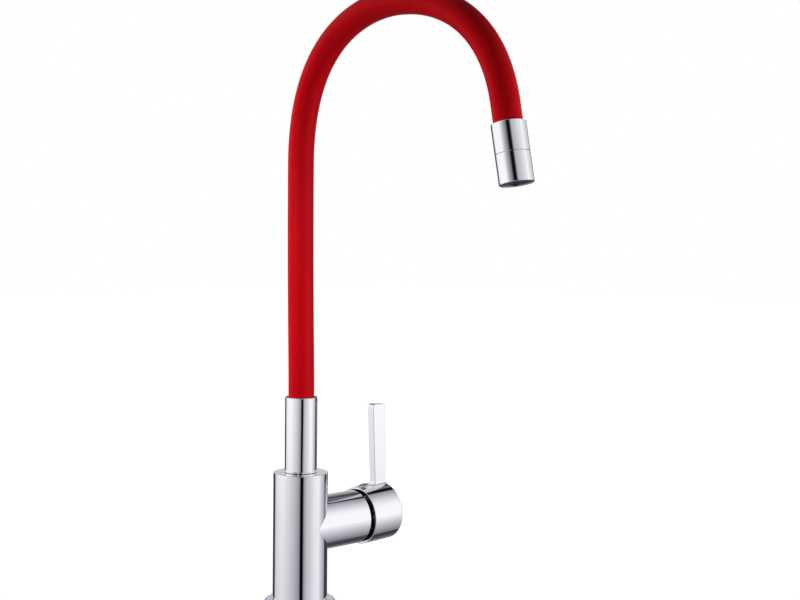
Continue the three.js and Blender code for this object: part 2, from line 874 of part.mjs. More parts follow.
const finish = (color, metalness, roughness) => () => new THREE.MeshStandardMaterial({
  color, metalness, roughness, flatShading: true,
});
const chrome = finish(0xe2e2ea, 1, 0.06);
const brass = finish(0xb8924a, 1, 0.35);
const steel = finish(0x9a9ca0, 1, 0.35);
const redSilicone = finish(0xc0121c, 0, 0.45);
const blackRubber = finish(0x1c1c1e, 0, 0.8);
const clearHose = finish(0xd8d8d2, 0, 0.5);
const ceramic = finish(0xf1efe9, 0, 0.25);
const whitePlastic = finish(0xe6e6e2, 0, 0.5);
const greyPlastic = finish(0x55575c, 0, 0.5);

// Assembly

function node(name, geometry, material) {
  const mesh = new THREE.Mesh(geometry, material());
  mesh.name = name;
  return mesh;
}

const tap = new THREE.Group();

const collarSeals = ['collar_seal_lower', 'collar_seal_upper'].map((name, i) => {
  const seal = node(name, collarSeal(), blackRubber);
  seal.position.z = sealHeights[i];
  return seal;
});
const spoutScrew = node('spout_set_screw', setScrew(), steel);
spoutScrew.position.z = screwHeight;
const lowerNipple = node('hose_nipple_lower', nipple(nippleThreadLength), brass);
lowerNipple.position.z = spoutFoot - gap;
tap.add(
  node('body_casting', bodyCasting(), chrome),
  node('base_flange', baseFlange(), chrome),
  node('base_gasket', baseGasket(), blackRubber),
  node('mounting_stud', mountingStud(), steel),
  node('clamp_washer', clampPiece(clampRadius, -deckThickness, clampWasherThickness), blackRubber),
  node('clamp_plate', clampPiece(clampRadius, clampPlateTop, clampPlateThickness), steel),
  node('mounting_nut', mountingNut(), brass),
  node('spout_collar', spoutCollar(), chrome),
  node('slip_ring', slipRing(), greyPlastic),
  ...collarSeals,
  spoutScrew,
  lowerNipple,
  node('spout_sleeve', spoutTube(sleeveRadius, sleeveBore, sleeveSides, sleeveBoreSides), redSilicone),
  node('gooseneck_core', spoutTube(coreRadius, coreBore, sleeveBoreSides, hoseSides), steel),
  node('water_hose', spoutTube(hoseRadius, hoseBore, hoseSides, hoseBoreSides), clearHose),
);

const outlet = new THREE.Group();
outlet.position.set(0, -spoutReach, outletHeight);
outlet.rotation.x = degrees(-outletTilt);
const upperNipple = node('hose_nipple_upper', nipple(upperNippleThreadLength), brass);
upperNipple.position.z = -outletSocketDepth - gap;
outlet.add(
  upperNipple,
  node('outlet_ferrule', outletFerrule(), chrome),
  node('aerator_housing', aeratorHousing(), chrome),
  node('aerator_seal', aeratorSeal(), blackRubber),
  node('aerator_insert', aeratorInsert(), greyPlastic),
  node('flow_straightener', flowStraightener(), greyPlastic),
);

const branch = new THREE.Group();
branch.position.z = branchHeight;
const mixingDiscs = [
  node('moving_disc', movingDisc(), ceramic),
  node('disc_carrier', discCarrier(), whitePlastic),
];
for (const disc of mixingDiscs) disc.position.z = -discDrop;
const pin = node('pivot_pin', pivotPin(), steel);
pin.position.x = pivotReach;
branch.add(
  node('port_seal', portSeal(), blackRubber),
  node('cartridge_base', cartridgeBase(), whitePlastic),
  node('fixed_disc', fixedDisc(), ceramic),
  ...mixingDiscs,
  node('cartridge_housing', cartridgeHousing(), whitePlastic),
  node('spindle_guide', spindleGuide(), whitePlastic),
  pin,
  node('retaining_nut', retainingNut(), brass),
  node('dome_ring', domeRing(), chrome),
);

const spindleGroup = new THREE.Group();
spindleGroup.position.set(pivotReach, 0, pivotHeight);
spindleGroup.rotation.y = degrees(-spindleLean);
spindleGroup.add(node('spindle', spindle(), steel));

const lever = new THREE.Group();
lever.position.set(pivotReach, 0, pivotHeight);
lever.rotation.y = degrees(-leverLean);
const leverBottomPieces = [
  node('lever_grub_screw', leverScrew(), steel),
  node('lever_plug', leverPlug(), greyPlastic),
];
for (const piece of leverBottomPieces) piece.position.x = leverScrewPlace;
lever.add(node('lever_handle', leverHandle(), chrome), ...leverBottomPieces);

tap.add(outlet, branch, spindleGroup, lever);

export default tap;
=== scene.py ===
# Looks of a single-lever kitchen mixer tap with a flexible red spout, in metres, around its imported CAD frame.
import json
from math import acos, atan2, copysign, cos, hypot, pi, radians, sin, sqrt, tan

import bpy
import numpy as np
from mathutils import Matrix, Vector
from mathutils.bvhtree import BVHTree
from numpy.linalg import norm


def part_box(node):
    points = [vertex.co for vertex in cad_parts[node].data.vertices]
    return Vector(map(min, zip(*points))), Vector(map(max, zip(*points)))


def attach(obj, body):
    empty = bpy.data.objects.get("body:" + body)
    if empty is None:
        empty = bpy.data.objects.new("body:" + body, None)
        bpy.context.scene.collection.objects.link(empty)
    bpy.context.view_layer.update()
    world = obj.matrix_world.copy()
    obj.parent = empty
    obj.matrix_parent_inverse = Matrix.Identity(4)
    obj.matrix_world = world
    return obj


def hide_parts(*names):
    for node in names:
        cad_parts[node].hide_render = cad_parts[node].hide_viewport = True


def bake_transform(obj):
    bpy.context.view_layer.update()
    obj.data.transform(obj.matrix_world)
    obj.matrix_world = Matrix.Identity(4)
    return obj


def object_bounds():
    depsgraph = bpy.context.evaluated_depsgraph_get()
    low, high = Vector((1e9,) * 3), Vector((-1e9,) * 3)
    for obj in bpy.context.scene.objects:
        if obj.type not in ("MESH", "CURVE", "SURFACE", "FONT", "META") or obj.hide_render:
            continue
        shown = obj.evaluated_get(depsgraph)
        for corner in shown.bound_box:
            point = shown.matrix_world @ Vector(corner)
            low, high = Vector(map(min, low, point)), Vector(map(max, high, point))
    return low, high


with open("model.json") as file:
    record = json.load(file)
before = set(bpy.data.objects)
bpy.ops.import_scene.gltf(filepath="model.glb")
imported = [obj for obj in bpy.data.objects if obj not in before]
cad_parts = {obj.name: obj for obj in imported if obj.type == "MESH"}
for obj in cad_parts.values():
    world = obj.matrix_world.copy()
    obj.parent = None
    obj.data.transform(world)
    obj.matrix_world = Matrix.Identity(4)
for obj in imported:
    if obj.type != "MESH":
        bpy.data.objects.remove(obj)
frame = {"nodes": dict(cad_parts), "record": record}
cad_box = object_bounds()
scene = bpy.context.scene

MM = 0.001

# Column, flange and housing
COLUMN_RADIUS = 23 * MM
COLUMN_TOP = 113.8 * MM
COLUMN_EDGE = 0.5 * MM
NECK_RADIUS = 20.5 * MM
FLANGE_RADIUS = 30 * MM
FLANGE_HEIGHT = 6 * MM
FLANGE_EDGE = 2.5 * MM
GASKET_INNER = 24.3 * MM
GASKET_WIDTH = 2.9 * MM
GASKET_HEIGHT = 1.7 * MM
GASKET_EDGE = 0.3 * MM
BRANCH_HEIGHT = 67.6 * MM
HOUSING_RADIUS = 22.9 * MM
HOUSING_REACH = 60.3 * MM
HOUSING_EDGE = 0.6 * MM
CAVITY_RADIUS = 17.8 * MM
NUT_SEAT_RADIUS = 20.3 * MM
CAVITY_START = 27 * MM
NUT_SEAT_START = 50.2 * MM
CHAMBER_RADIUS = 12.5 * MM
CHAMBER_FLOOR = 86 * MM
PORT_RADIUS = 4.5 * MM
PORT_DEPTH = 14 * MM
PORT_FORWARD = 6 * MM
PORT_SPREAD = 8 * MM
PORT_BORE = 2.8 * MM
SEAT_PORT_RISE = 5 * MM
STUD_HOLE_RADIUS = 4.2 * MM
STUD_BACK = 12 * MM
STUD_INSET = 13.5 * MM
SET_SCREW_HOLE = 2.3 * MM
SET_SCREW_HEIGHT = 100 * MM
SET_SCREW_EDGE = 0.3 * MM
KEY_SHARE = 0.58
KEY_DEPTH = 1.1

# Fixing under the deck
STUD_RADIUS = 3.9 * MM
STUD_FOOT = -64.5 * MM
STUD_PITCH = 1.25 * MM
STUD_ROOT = 3.35 * MM
STUD_EDGE = 0.7 * MM
CLAMP_RADIUS = 24 * MM
CLAMP_SLOT_START = -5 * MM
CLAMP_SLOT_HALF = 13 * MM
WASHER_EDGE = 0.5 * MM
PLATE_EDGE = 0.25 * MM
NUT_RADIUS = 7.5 * MM
NUT_EDGE = 0.9 * MM
NUT_FLARE = 1.6 * MM
NUT_FLARE_DEPTH = 0.6 * MM

# Lever
PIVOT = Vector((54.0 * MM, 0, BRANCH_HEIGHT))
LEVER_LEAN = radians(2)
SOCKET_LEAN = radians(10.5)
CAP_START = 9.9 * MM
CAP_END = 41.9 * MM
CAP_RADIUS = 24.9 * MM
CAP_BORE = 23 * MM
CAP_EDGE = 1.4 * MM
CAP_START_EDGE = 0.5 * MM
CAP_INNER_EDGE = 0.8 * MM
CAP_END_WALL = 3 * MM
RELIEF_DEPTH = 5.5 * MM
RELIEF_HEIGHT = 15 * MM
HUB_RADIUS = 9.5 * MM
HUB_START = 22.5 * MM
SOCKET_HALF = 4.1 * MM
SOCKET_END = 33.3 * MM
LEVER_SCREW_PLACE = 30 * MM
LEVER_SCREW_HOLE = 2.8 * MM
LEVER_SCREW_TOP = 5.5 * MM
PLUG_RADIUS = 3 * MM
PLUG_INSET = 0.3 * MM
PLUG_CROWN = 0.1 * MM
PLUG_EDGE = 0.4 * MM
PLUG_HEIGHT = 2 * MM
BLADE_FOOT = 22.6 * MM
BLADE_ROOT = 1.2 * MM
BLADE_TOP = 95.6 * MM
BLADE_WIDTH = 7.4 * MM
BLADE_TOP_SLOPE = tan(radians(5.5))
BLADE_TOP_LEVEL = 38.5 * MM
BLADE_SLOPE_RUN = 12 * MM
BLADE_SLOPE_LEAD = 1.25
BLADE_INNER = 28.7 * MM
BLADE_TOP_INNER = 28 * MM
BLADE_TOP_OUTER = 41.6 * MM
BLADE_INNER_CORNER = 3 * MM
BLADE_OUTER_CORNER = 1 * MM
BLADE_EDGE = 0.55 * MM
BLADE_FILLET = 2.2 * MM
FILLET_LEAD = 0.6 * MM
FILLET_SINK = 0.3 * MM
BLADE_FLARE_IN = 2.6 * MM
BLADE_FLARE_SIDE = 1.4 * MM
PAD_PLACE = 21 * MM
PAD_HALF_LENGTH = 8 * MM
PAD_HALF_WIDTH = 6.2 * MM
PAD_RISE = 1.9 * MM
PAD_DEPTH = 2.6 * MM
PAD_ARC = (-12, 88)
DOME_WALL = 1.2 * MM
DOME_OPENING = 11 * MM
NUT_OUTER = 20 * MM
NUT_END = 55.5 * MM

# Collar, spout and outlet
COLLAR_RADIUS = 13.56 * MM
COLLAR_TOP = 177.3 * MM
COLLAR_FOOT = 115.4 * MM
COLLAR_LIP_FOOT = 114.1 * MM
COLLAR_LIP_INNER = 13.28 * MM
COLLAR_LIP_EDGE = 0.1 * MM
COLLAR_EDGE = 0.4 * MM
SPIGOT_RADIUS = 12.1 * MM
SPIGOT_FOOT = 86.7 * MM
SPIGOT_BORE = 6.5 * MM
SPIGOT_EDGE = 0.4 * MM
NIPPLE_WALL = 2.5 * MM
NIPPLE_DEPTH = 13.5 * MM
SOCKET_RADIUS = 11.1 * MM
SPOUT_FOOT = 143.9 * MM
SEAT_HEIGHT = 139.7 * MM
SLIP_RING_INNER = 12.4 * MM
SLIP_RING_OUTER = 13.16 * MM
SLIP_RING_FOOT = 114.1 * MM
SLIP_RING_TOP = 115.1 * MM
SLIP_RING_EDGE = 0.2 * MM
SLEEVE_RADIUS = 10.8 * MM
SLEEVE_BORE = 8.3 * MM
CORE_RADIUS = 7.9 * MM
CORE_BORE = 6.3 * MM
CORE_PITCH = 2.2 * MM
CORE_DIPS = (0, 0.35 * MM, 0.7 * MM, 0.35 * MM)
HOSE_RADIUS = 5.9 * MM
HOSE_BORE = 4.1 * MM
SPOUT_REACH = 228.9 * MM
OUTLET_HEIGHT = 395.1 * MM
OUTLET_TILT = radians(11.8)
LEG_BOW = 2.8 * MM
LEG_BOW_HEIGHT = 372.7 * MM
ARCH_TOP = 493.8 * MM
ARCH_TOP_REACH = 110.3 * MM
TIP_STRAIGHT = 15 * MM
LEG_PULLS = (0.18, 0.57)
ARCH_PULLS = (0.91, 0.24)
TIP_PULLS = (0.44, 0.62)
OUTLET_RADIUS = 12.8 * MM
OUTLET_EDGE = 0.4 * MM
FERRULE_LENGTH = 22 * MM
FERRULE_SEAT = -19.2 * MM
FERRULE_BORE = 9 * MM
FERRULE_THREAD = 11 * MM
FERRULE_END = -30 * MM
SEAM_EDGE = 0.12 * MM
HOUSING_TOP = -22.3 * MM
HOUSING_FACE = -44.1 * MM
SHELL_BORE = 11.3 * MM
LIP_RADIUS = 10.2 * MM
LIP_EDGE = 0.3 * MM
LIP_TOP = -42.9 * MM
INSERT_RADIUS = 10.9 * MM
INSERT_BORE = 9.3 * MM
INSERT_EDGE = 0.2 * MM
INSERT_TOP = -32.6 * MM
INSERT_PLATE = -34.6 * MM
INSERT_FOOT = -42.6 * MM
CELL_RADIUS = 0.72 * MM
CELL_PITCH = 1.62 * MM
CELL_MARGIN = 1 * MM
CELL_RINGS = 5
CELL_TOP = -38.6 * MM
CELL_FOOT = -42.3 * MM

# Facets, small edges and clearances
SIDES = 128
FEW_SIDES = 64
TUBE_SIDES = 96
HOSE_SIDES = 32
CORE_SIDES = 24
THREAD_SIDES = 32
PAD_SIDES = 48
ARC_STEPS = 5
DOME_STEPS = 24
FILLET_STEPS = 10
BLADE_STEPS = 24
CORNER_STEPS = 14
EDGE_STEPS = 6
PAD_STEPS = 22
BEZIER_STEPS = 80
SLEEVE_RINGS = 420
HOSE_RINGS = 200
FINE_EDGE = 0.15 * MM
OVERRUN = 1 * MM
OVERLAP = 0.3 * MM
CLEARANCE = 0.3 * MM
HAIR = 0.02 * MM
TINY = 1e-12
# Share of the pitch and share of the thread's depth
THREAD_PROFILE = ((0, 0), (0.12, 0), (0.44, 1), (0.56, 1), (0.88, 0))
THREAD_SPARE_TURNS = 3
# Where a cut corner's normal is looked for, and its least match with the face
PROBE_SHARE = 0.02
PROBE_REACH = 0.05 * MM
LEAST_MATCH = 0.7

# Noise levels that a material's roughness and colour spread over
ROUGHNESS_SPREAD = (0.3, 0.7)
COLOR_SPREAD = (0.35, 0.65)

# Camera, from the photograph's outlines
VIEW_YAW = radians(43.42)
VIEW_PITCH = radians(3.05)
VIEW_ROLL = radians(0.65)
VIEW_PLACE = Vector((-726.5, -886.9, 320.5)) * MM
LENS = 61.61
SENSOR = 36
CLIP = (0.01, 50)
VIEW_RIGHT = Vector((cos(VIEW_YAW), -sin(VIEW_YAW), 0))

# Light
WHITE = (1, 1, 1, 1)
AMBIENT = 0.13
LAMP_AIM_Y = -0.08
# Name, height aimed at, bearing, elevation, distance, width and height, power
LAMPS = (
    ("left_softbox", 0.34, -89, 6.6, 0.91, (0.4, 0.4), 6.1),
    ("right_softbox", 0.08, 70, 10.7, 0.63, (0.6, 0.6), 3.7),
    ("front_softbox", 0.02, -37, 51.4, 0.38, (0.3, 0.2), 0.5),
    ("back_softbox", 0.27, 180, 8, 1.2, (0.3, 0.3), 5),
)
STUDIO_BLUE = 0.12
SOFTBOX_TILT = 0.04
SOFTBOX_DRIFT = 0.16
DRIFT_GROWTH = 1.2
SLANT_SPAN = 20
SLANT_START = -9
LOWER_OFFSET = -0.1
GAP_GREY = 0.002
BACK_GAP_GREY = 0.008
FLOOR_HALF = 6
FLOOR_DROP = 0.5 * MM
FLOOR_FADE = (0.1, 1.2)
FLOOR_FILL_NEAR = 0.85

# Places
ALONG_X = Matrix.Rotation(radians(90), 4, "Y")
BRANCH_PLACE = Matrix.Translation((0, 0, BRANCH_HEIGHT)) @ ALONG_X
SET_SCREW_PLACE = Matrix.Translation((0, 0, SET_SCREW_HEIGHT)) @ Matrix.Rotation(radians(-90), 4, "X")
STUD_PLACE = Matrix.Translation((-STUD_BACK, 0, 0))
LEVER_PLACE = Matrix.Translation(PIVOT) @ Matrix.Rotation(-LEVER_LEAN, 4, "Y")
OUTLET_PLACE = Matrix.Translation((0, -SPOUT_REACH, OUTLET_HEIGHT)) @ Matrix.Rotation(-OUTLET_TILT, 4, "X")


class Form:
    """Vertices, faces and a normal for each face corner."""

    def __init__(self, verts, faces, normals):
        self.verts = np.asarray(verts, float)
        self.faces = faces
        self.normals = normals

    def moved(self, matrix):
        turn = np.array(matrix.to_3x3())
        verts = self.verts @ turn.T + np.array(matrix.translation)
        normals = [[turn @ np.asarray(n) for n in face] for face in self.normals]
        return Form(verts, self.faces, normals)


def steps(first, last, count):
    return [first + (last - first) * i / count for i in range(count + 1)]


def rounded(corners, closed):
    """Segments (point, normal, point, normal) of a profile of (radius, height, rounding) corners."""
    count = len(corners)
    points = [np.array(c[:2], float) for c in corners]
    starts, ends, arcs = [], [], []
    for i, point in enumerate(points):
        start, end, arc = point, point, []
        if len(corners[i]) > 2 and corners[i][2] > 0:
            radius = corners[i][2]
            u, v = points[i - 1] - point, points[(i + 1) % count] - point
            u, v = u / norm(u), v / norm(v)
            half = acos(max(-1, min(1, float(u @ v)))) / 2
            back = radius / tan(half)
            start, end = point + u * back, point + v * back
            middle = point + (u + v) / norm(u + v) * radius / sin(half)
            side = np.sign(u[1] * v[0] - u[0] * v[1])
            first, last = (start - middle) / radius, (end - middle) / radius
            turn = atan2(first[0] * last[1] - first[1] * last[0], float(first @ last))
            for angle in steps(0, turn, ARC_STEPS):
                c, s = cos(angle), sin(angle)
                out = np.array([first[0] * c - first[1] * s, first[0] * s + first[1] * c])
                arc.append((middle + out * radius, out * side))
        starts.append(start)
        ends.append(end)
        arcs.append(arc)
    segments = []
    for i, arc in enumerate(arcs):
        segments += [(*p, *q) for p, q in zip(arc, arc[1:])]
        if closed or i < count - 1:
            start, end = ends[i], starts[(i + 1) % count]
            along = end - start
            length = norm(along)
            if length > TINY:
                out = np.array([along[1], -along[0]]) / length
                segments.append((start, out, end, out))
    return segments


def turned(corners, sides=SIDES):
    """A solid turned around Z. Its profile runs up the outer side and down the inner one."""
    closed = not (corners[0][0] == 0 and corners[-1][0] == 0)
    segments = rounded(corners, closed)
    angles = np.arange(sides) * 2 * pi / sides
    cosines, sines = np.cos(angles), np.sin(angles)
    verts, rings = [], []
    points = [s[0] for s in segments]
    if not closed:
        points.append(segments[-1][2])
    for radius, height in points:
        if radius < TINY:
            rings.append([len(verts)] * sides)
            verts.append((0, 0, height))
        else:
            rings.append(list(range(len(verts), len(verts) + sides)))
            verts += [(radius * c, radius * s, height) for c, s in zip(cosines, sines)]
    faces, normals = [], []
    for j, (_, n0, _, n1) in enumerate(segments):
        low, high = rings[j], rings[(j + 1) % len(rings)]
        if low[0] == low[-1] and high[0] == high[-1]:
            continue
        for i in range(sides):
            k = (i + 1) % sides
            quad = [(low, n0, i), (low, n0, k), (high, n1, k), (high, n1, i)]
            if low[i] == low[k]:
                del quad[1]
            elif high[i] == high[k]:
                del quad[3]
            faces.append(tuple(row[m] for row, _, m in quad))
            normals.append([(n[0] * cosines[m], n[0] * sines[m], n[1]) for _, n, m in quad])
    return Form(verts, faces, normals)


def flat_form(verts, faces):
    """A form whose faces are all flat."""
    verts = np.asarray(verts, float)
    normals = []
    for face in faces:
        n = np.cross(verts[face[1]] - verts[face[0]], verts[face[2]] - verts[face[0]])
        n = n / norm(n)
        normals.append([n] * len(face))
    return Form(verts, faces, normals)


def prism(sides, radius, low, high, place=(0, 0)):
    """An upright prism with regular sides."""
    turns = [2 * pi * i / sides for i in range(sides)]
    outline = [(place[0] + radius * cos(t), place[1] + radius * sin(t)) for t in turns]
    verts = [(x, y, z) for z in (low, high) for x, y in outline]
    faces = [tuple(reversed(range(sides))), tuple(range(sides, 2 * sides))]
    faces += [(i, (i + 1) % sides, sides + (i + 1) % sides, sides + i) for i in range(sides)]
    return flat_form(verts, faces)


def block(low, high):
    corners = [(x, y, z) for x in (low[0], high[0]) for y in (low[1], high[1]) for z in (low[2], high[2])]
    faces = [(0, 1, 3, 2), (4, 6, 7, 5), (0, 4, 5, 1), (2, 3, 7, 6), (0, 2, 6, 4), (1, 5, 7, 3)]
    return flat_form(corners, faces)


def join_rings(faces, normals, ring_normals, low, high):
    """Adds the faces between two rings of a skin, by the rings' numbers."""
    sides = len(ring_normals[low])
    for i in range(sides):
        k = (i + 1) % sides
        corners = ((low, i), (low, k), (high, k), (high, i))
        faces.append(tuple(ring * sides + side for ring, side in corners))
        normals.append([ring_normals[corner] for corner in corners])


def grid_form(rows):
    """A closed skin over rows of rings, with a flat cap on each end and smooth normals in between."""
    rows = np.asarray(rows, float)
    count, sides = rows.shape[:2]
    around = np.roll(rows, -1, 1) - np.roll(rows, 1, 1)
    along = np.gradient(rows, axis=0)
    normal = np.cross(around, along)
    normal /= np.maximum(norm(normal, axis=2, keepdims=True), TINY)
    faces, normals = [], []
    for j in range(count - 1):
        join_rings(faces, normals, normal, j, j + 1)
    verts = rows.reshape(-1, 3)
    for ring, flip in ((0, True), (count - 1, False)):
        face = [ring * sides + i for i in range(sides)]
        if flip:
            face.reverse()
        a, b, c = (verts[face[i * sides // 3]] for i in range(3))
        n = np.cross(b - a, c - a)
        faces.append(tuple(face))
        normals.append([n / norm(n)] * sides)
    return Form(verts, faces, normals)


def together(*forms):
    """Separate forms as one."""
    verts, faces, normals = [], [], []
    start = 0
    for form in forms:
        verts.append(form.verts)
        faces += [tuple(start + i for i in face) for face in form.faces]
        normals += list(form.normals)
        start += len(form.verts)
    return Form(np.concatenate(verts), faces, normals)


def add_object(name, data):
    obj = bpy.data.objects.new(name, data)
    scene.collection.objects.link(obj)
    return obj


def set_normals(mesh, normals):
    mesh.polygons.foreach_set("use_smooth", [True] * len(mesh.polygons))
    mesh.normals_split_custom_set(normals)


def mesh_object(name, form):
    mesh = bpy.data.meshes.new(name)
    mesh.from_pydata([tuple(v) for v in form.verts], [], [tuple(f) for f in form.faces])
    set_normals(mesh, [tuple(n) for face in form.normals for n in face])
    return add_object(name, mesh)


def corner_normals(mesh, forms):
    """A normal for each corner of a cut mesh, from the nearest face of the forms that it was cut from."""
    sources = []
    for form, sign in forms:
        tris, corners = [], []
        for face, normal in zip(form.faces, form.normals):
            for k in range(1, len(face) - 1):
                tris.append((face[0], face[k], face[k + 1]))
                corners.append((normal[0], normal[k], normal[k + 1]))
        tree = BVHTree.FromPolygons([Vector(v) for v in form.verts], tris)
        sources.append((tree, form.verts, tris, corners, sign))
    result = []
    for polygon in mesh.polygons:
        centre, flat = polygon.center, polygon.normal
        for index in polygon.loop_indices:
            place = mesh.vertices[mesh.loops[index].vertex_index].co
            probe = place.lerp(centre, PROBE_SHARE)
            best, found = LEAST_MATCH, flat
            for tree, verts, tris, corners, sign in sources:
                hit, _, tri, distance = tree.find_nearest(probe, PROBE_REACH)
                if hit is None:
                    continue
                a, b, c = (Vector(verts[i]) for i in tris[tri])
                n0, n1, n2 = (Vector(n) for n in corners[tri])
                area = (b - a).cross(c - a)
                square = area.length_squared
                if square == 0:
                    continue
                wb = (hit - a).cross(c - a).dot(area) / square
                wc = (b - a).cross(hit - a).dot(area) / square
                normal = ((1 - wb - wc) * n0 + wb * n1 + wc * n2).normalized() * sign
                match = normal.dot(flat) - distance / MM
                if match > best:
                    best, found = match, normal
            result.append(tuple(found))
    return result


def carved(name, base, added=(), removed=(), kept=()):
    """The base form with others joined, cut away or kept as its limit, as one object with true normals."""
    obj = mesh_object(name, base)
    sources = [(base, 1)]
    tools = []
    cuts = [(f, "UNION", 1) for f in added] + [(f, "INTERSECT", 1) for f in kept]
    cuts += [(f, "DIFFERENCE", -1) for f in removed]
    for form, operation, sign in cuts:
        tool = mesh_object("tool", form)
        modifier = obj.modifiers.new("carve", "BOOLEAN")
        modifier.operation = operation
        modifier.solver = "EXACT"
        modifier.object = tool
        sources.append((form, sign))
        tools.append(tool)
    depsgraph = bpy.context.evaluated_depsgraph_get()
    mesh = bpy.data.meshes.new_from_object(obj.evaluated_get(depsgraph))
    obj.modifiers.clear()
    obj.data = mesh
    for tool in tools:
        bpy.data.objects.remove(tool)
    set_normals(mesh, corner_normals(mesh, sources))
    return obj


def at(form, x=0, y=0, z=0):
    return form.moved(Matrix.Translation((x, y, z)))


def rod(radius, low, high, foot=0, top=0, sides=FEW_SIDES):
    """A solid cylinder. Its foot edge and its top edge can be rounded."""
    return turned([(0, low), (radius, low, foot), (radius, high, top), (0, high)], sides)


def ring(inner, outer, low, high, edge):
    return turned([(inner, low, edge), (outer, low, edge), (outer, high, edge), (inner, high, edge)])


def threaded_rod(radius, root, pitch, low, high, sides):
    """A rod with a helical V thread. It runs past both ends, to be cut to its length."""
    per_turn = len(THREAD_PROFILE)
    turns = int((high - low) / pitch) + THREAD_SPARE_TURNS
    start = low - THREAD_SPARE_TURNS / 2 * pitch
    verts = []
    for turn in range(turns):
        for share, rise in THREAD_PROFILE:
            r = root + (radius - root) * rise
            for i in range(sides):
                angle = 2 * pi * i / sides
                z = start + pitch * (turn + share + i / sides)
                verts.append((r * cos(angle), r * sin(angle), z))
    last_row = (turns - 1) * per_turn - 1

    def index(i, j):
        return (j + per_turn) * sides if i == sides else j * sides + i

    faces = []
    for j in range(last_row):
        for i in range(sides):
            faces.append((index(i, j), index(i + 1, j), index(i + 1, j + 1), index(i, j + 1)))
    foot = [index(i, 0) for i in range(sides)] + [j * sides for j in range(per_turn, 0, -1)]
    head = [index(i, last_row) for i in range(sides)]
    head += [(last_row + per_turn - k) * sides for k in range(per_turn)]
    verts.append((0, 0, low - 2 * pitch))
    faces += [(foot[(k + 1) % len(foot)], foot[k], len(verts) - 1) for k in range(len(foot))]
    verts.append((0, 0, high + 3 * pitch))
    faces += [(head[k], head[(k + 1) % len(head)], len(verts) - 1) for k in range(len(head))]
    return flat_form(verts, faces)


# Materials


def feed(tree, node, *values, **named):
    """Sets a node's inputs or links them to outputs, in their order or by name with _ for a blank."""
    pairs = list(zip(node.inputs, values))
    pairs += [(node.inputs[key.replace("_", " ")], value) for key, value in named.items()]
    for target, value in pairs:
        if isinstance(value, bpy.types.NodeSocket):
            tree.links.new(value, target)
        else:
            target.default_value = value
    return node


def add_node(tree, kind, *values, **named):
    return feed(tree, tree.nodes.new("ShaderNode" + kind), *values, **named)


def feed_surface(material, **named):
    """Feeds inputs of the material's own shader."""
    tree = material.node_tree
    feed(tree, tree.nodes["Principled BSDF"], **named)


def noise(tree, scale, detail, stretch=(1, 1, 1)):
    """Noise in the object's own coordinates."""
    place = add_node(tree, "TexCoord").outputs["Object"]
    place = add_node(tree, "Mapping", Vector=place, Scale=stretch).outputs["Vector"]
    return add_node(tree, "TexNoise", Vector=place, Scale=scale, Detail=detail).outputs["Fac"]


def make_material(name, color, metallic, roughness, gloss=None, tones=None, grain=None, **named):
    """A material, with noise in its roughness (gloss), its colour (tones) and its relief (grain)."""
    material = bpy.data.materials.new(name)
    material.use_nodes = True
    feed_surface(material, Base_Color=(*color, 1), Metallic=metallic, Roughness=roughness, **named)
    tree = material.node_tree
    if tones:
        scale, *colors = tones
        ramp = add_node(tree, "ValToRGB", noise(tree, scale, 5))
        for element, place, tone in zip(ramp.color_ramp.elements, COLOR_SPREAD, colors):
            element.position = place
            element.color = (*tone, 1)
        feed_surface(material, Base_Color=ramp.outputs["Color"])
    if gloss:
        scale, low, high = gloss
        spread = add_node(tree, "MapRange", noise(tree, scale, 4), *ROUGHNESS_SPREAD, low, high)
        feed_surface(material, Roughness=spread.outputs["Result"])
    if grain:
        scale, depth, strength, *stretch = grain
        relief = add_node(tree, "Bump", strength, depth, Height=noise(tree, scale, 3, *stretch))
        feed_surface(material, Normal=relief.outputs["Normal"])
    return material


def make_plastic(name, dark, pale, roughness):
    gloss = (350, roughness - 0.05, roughness + 0.07)
    return make_material(name, pale, 0, roughness, gloss, (150, dark, pale), (1500, 0.015 * MM, 0.4))


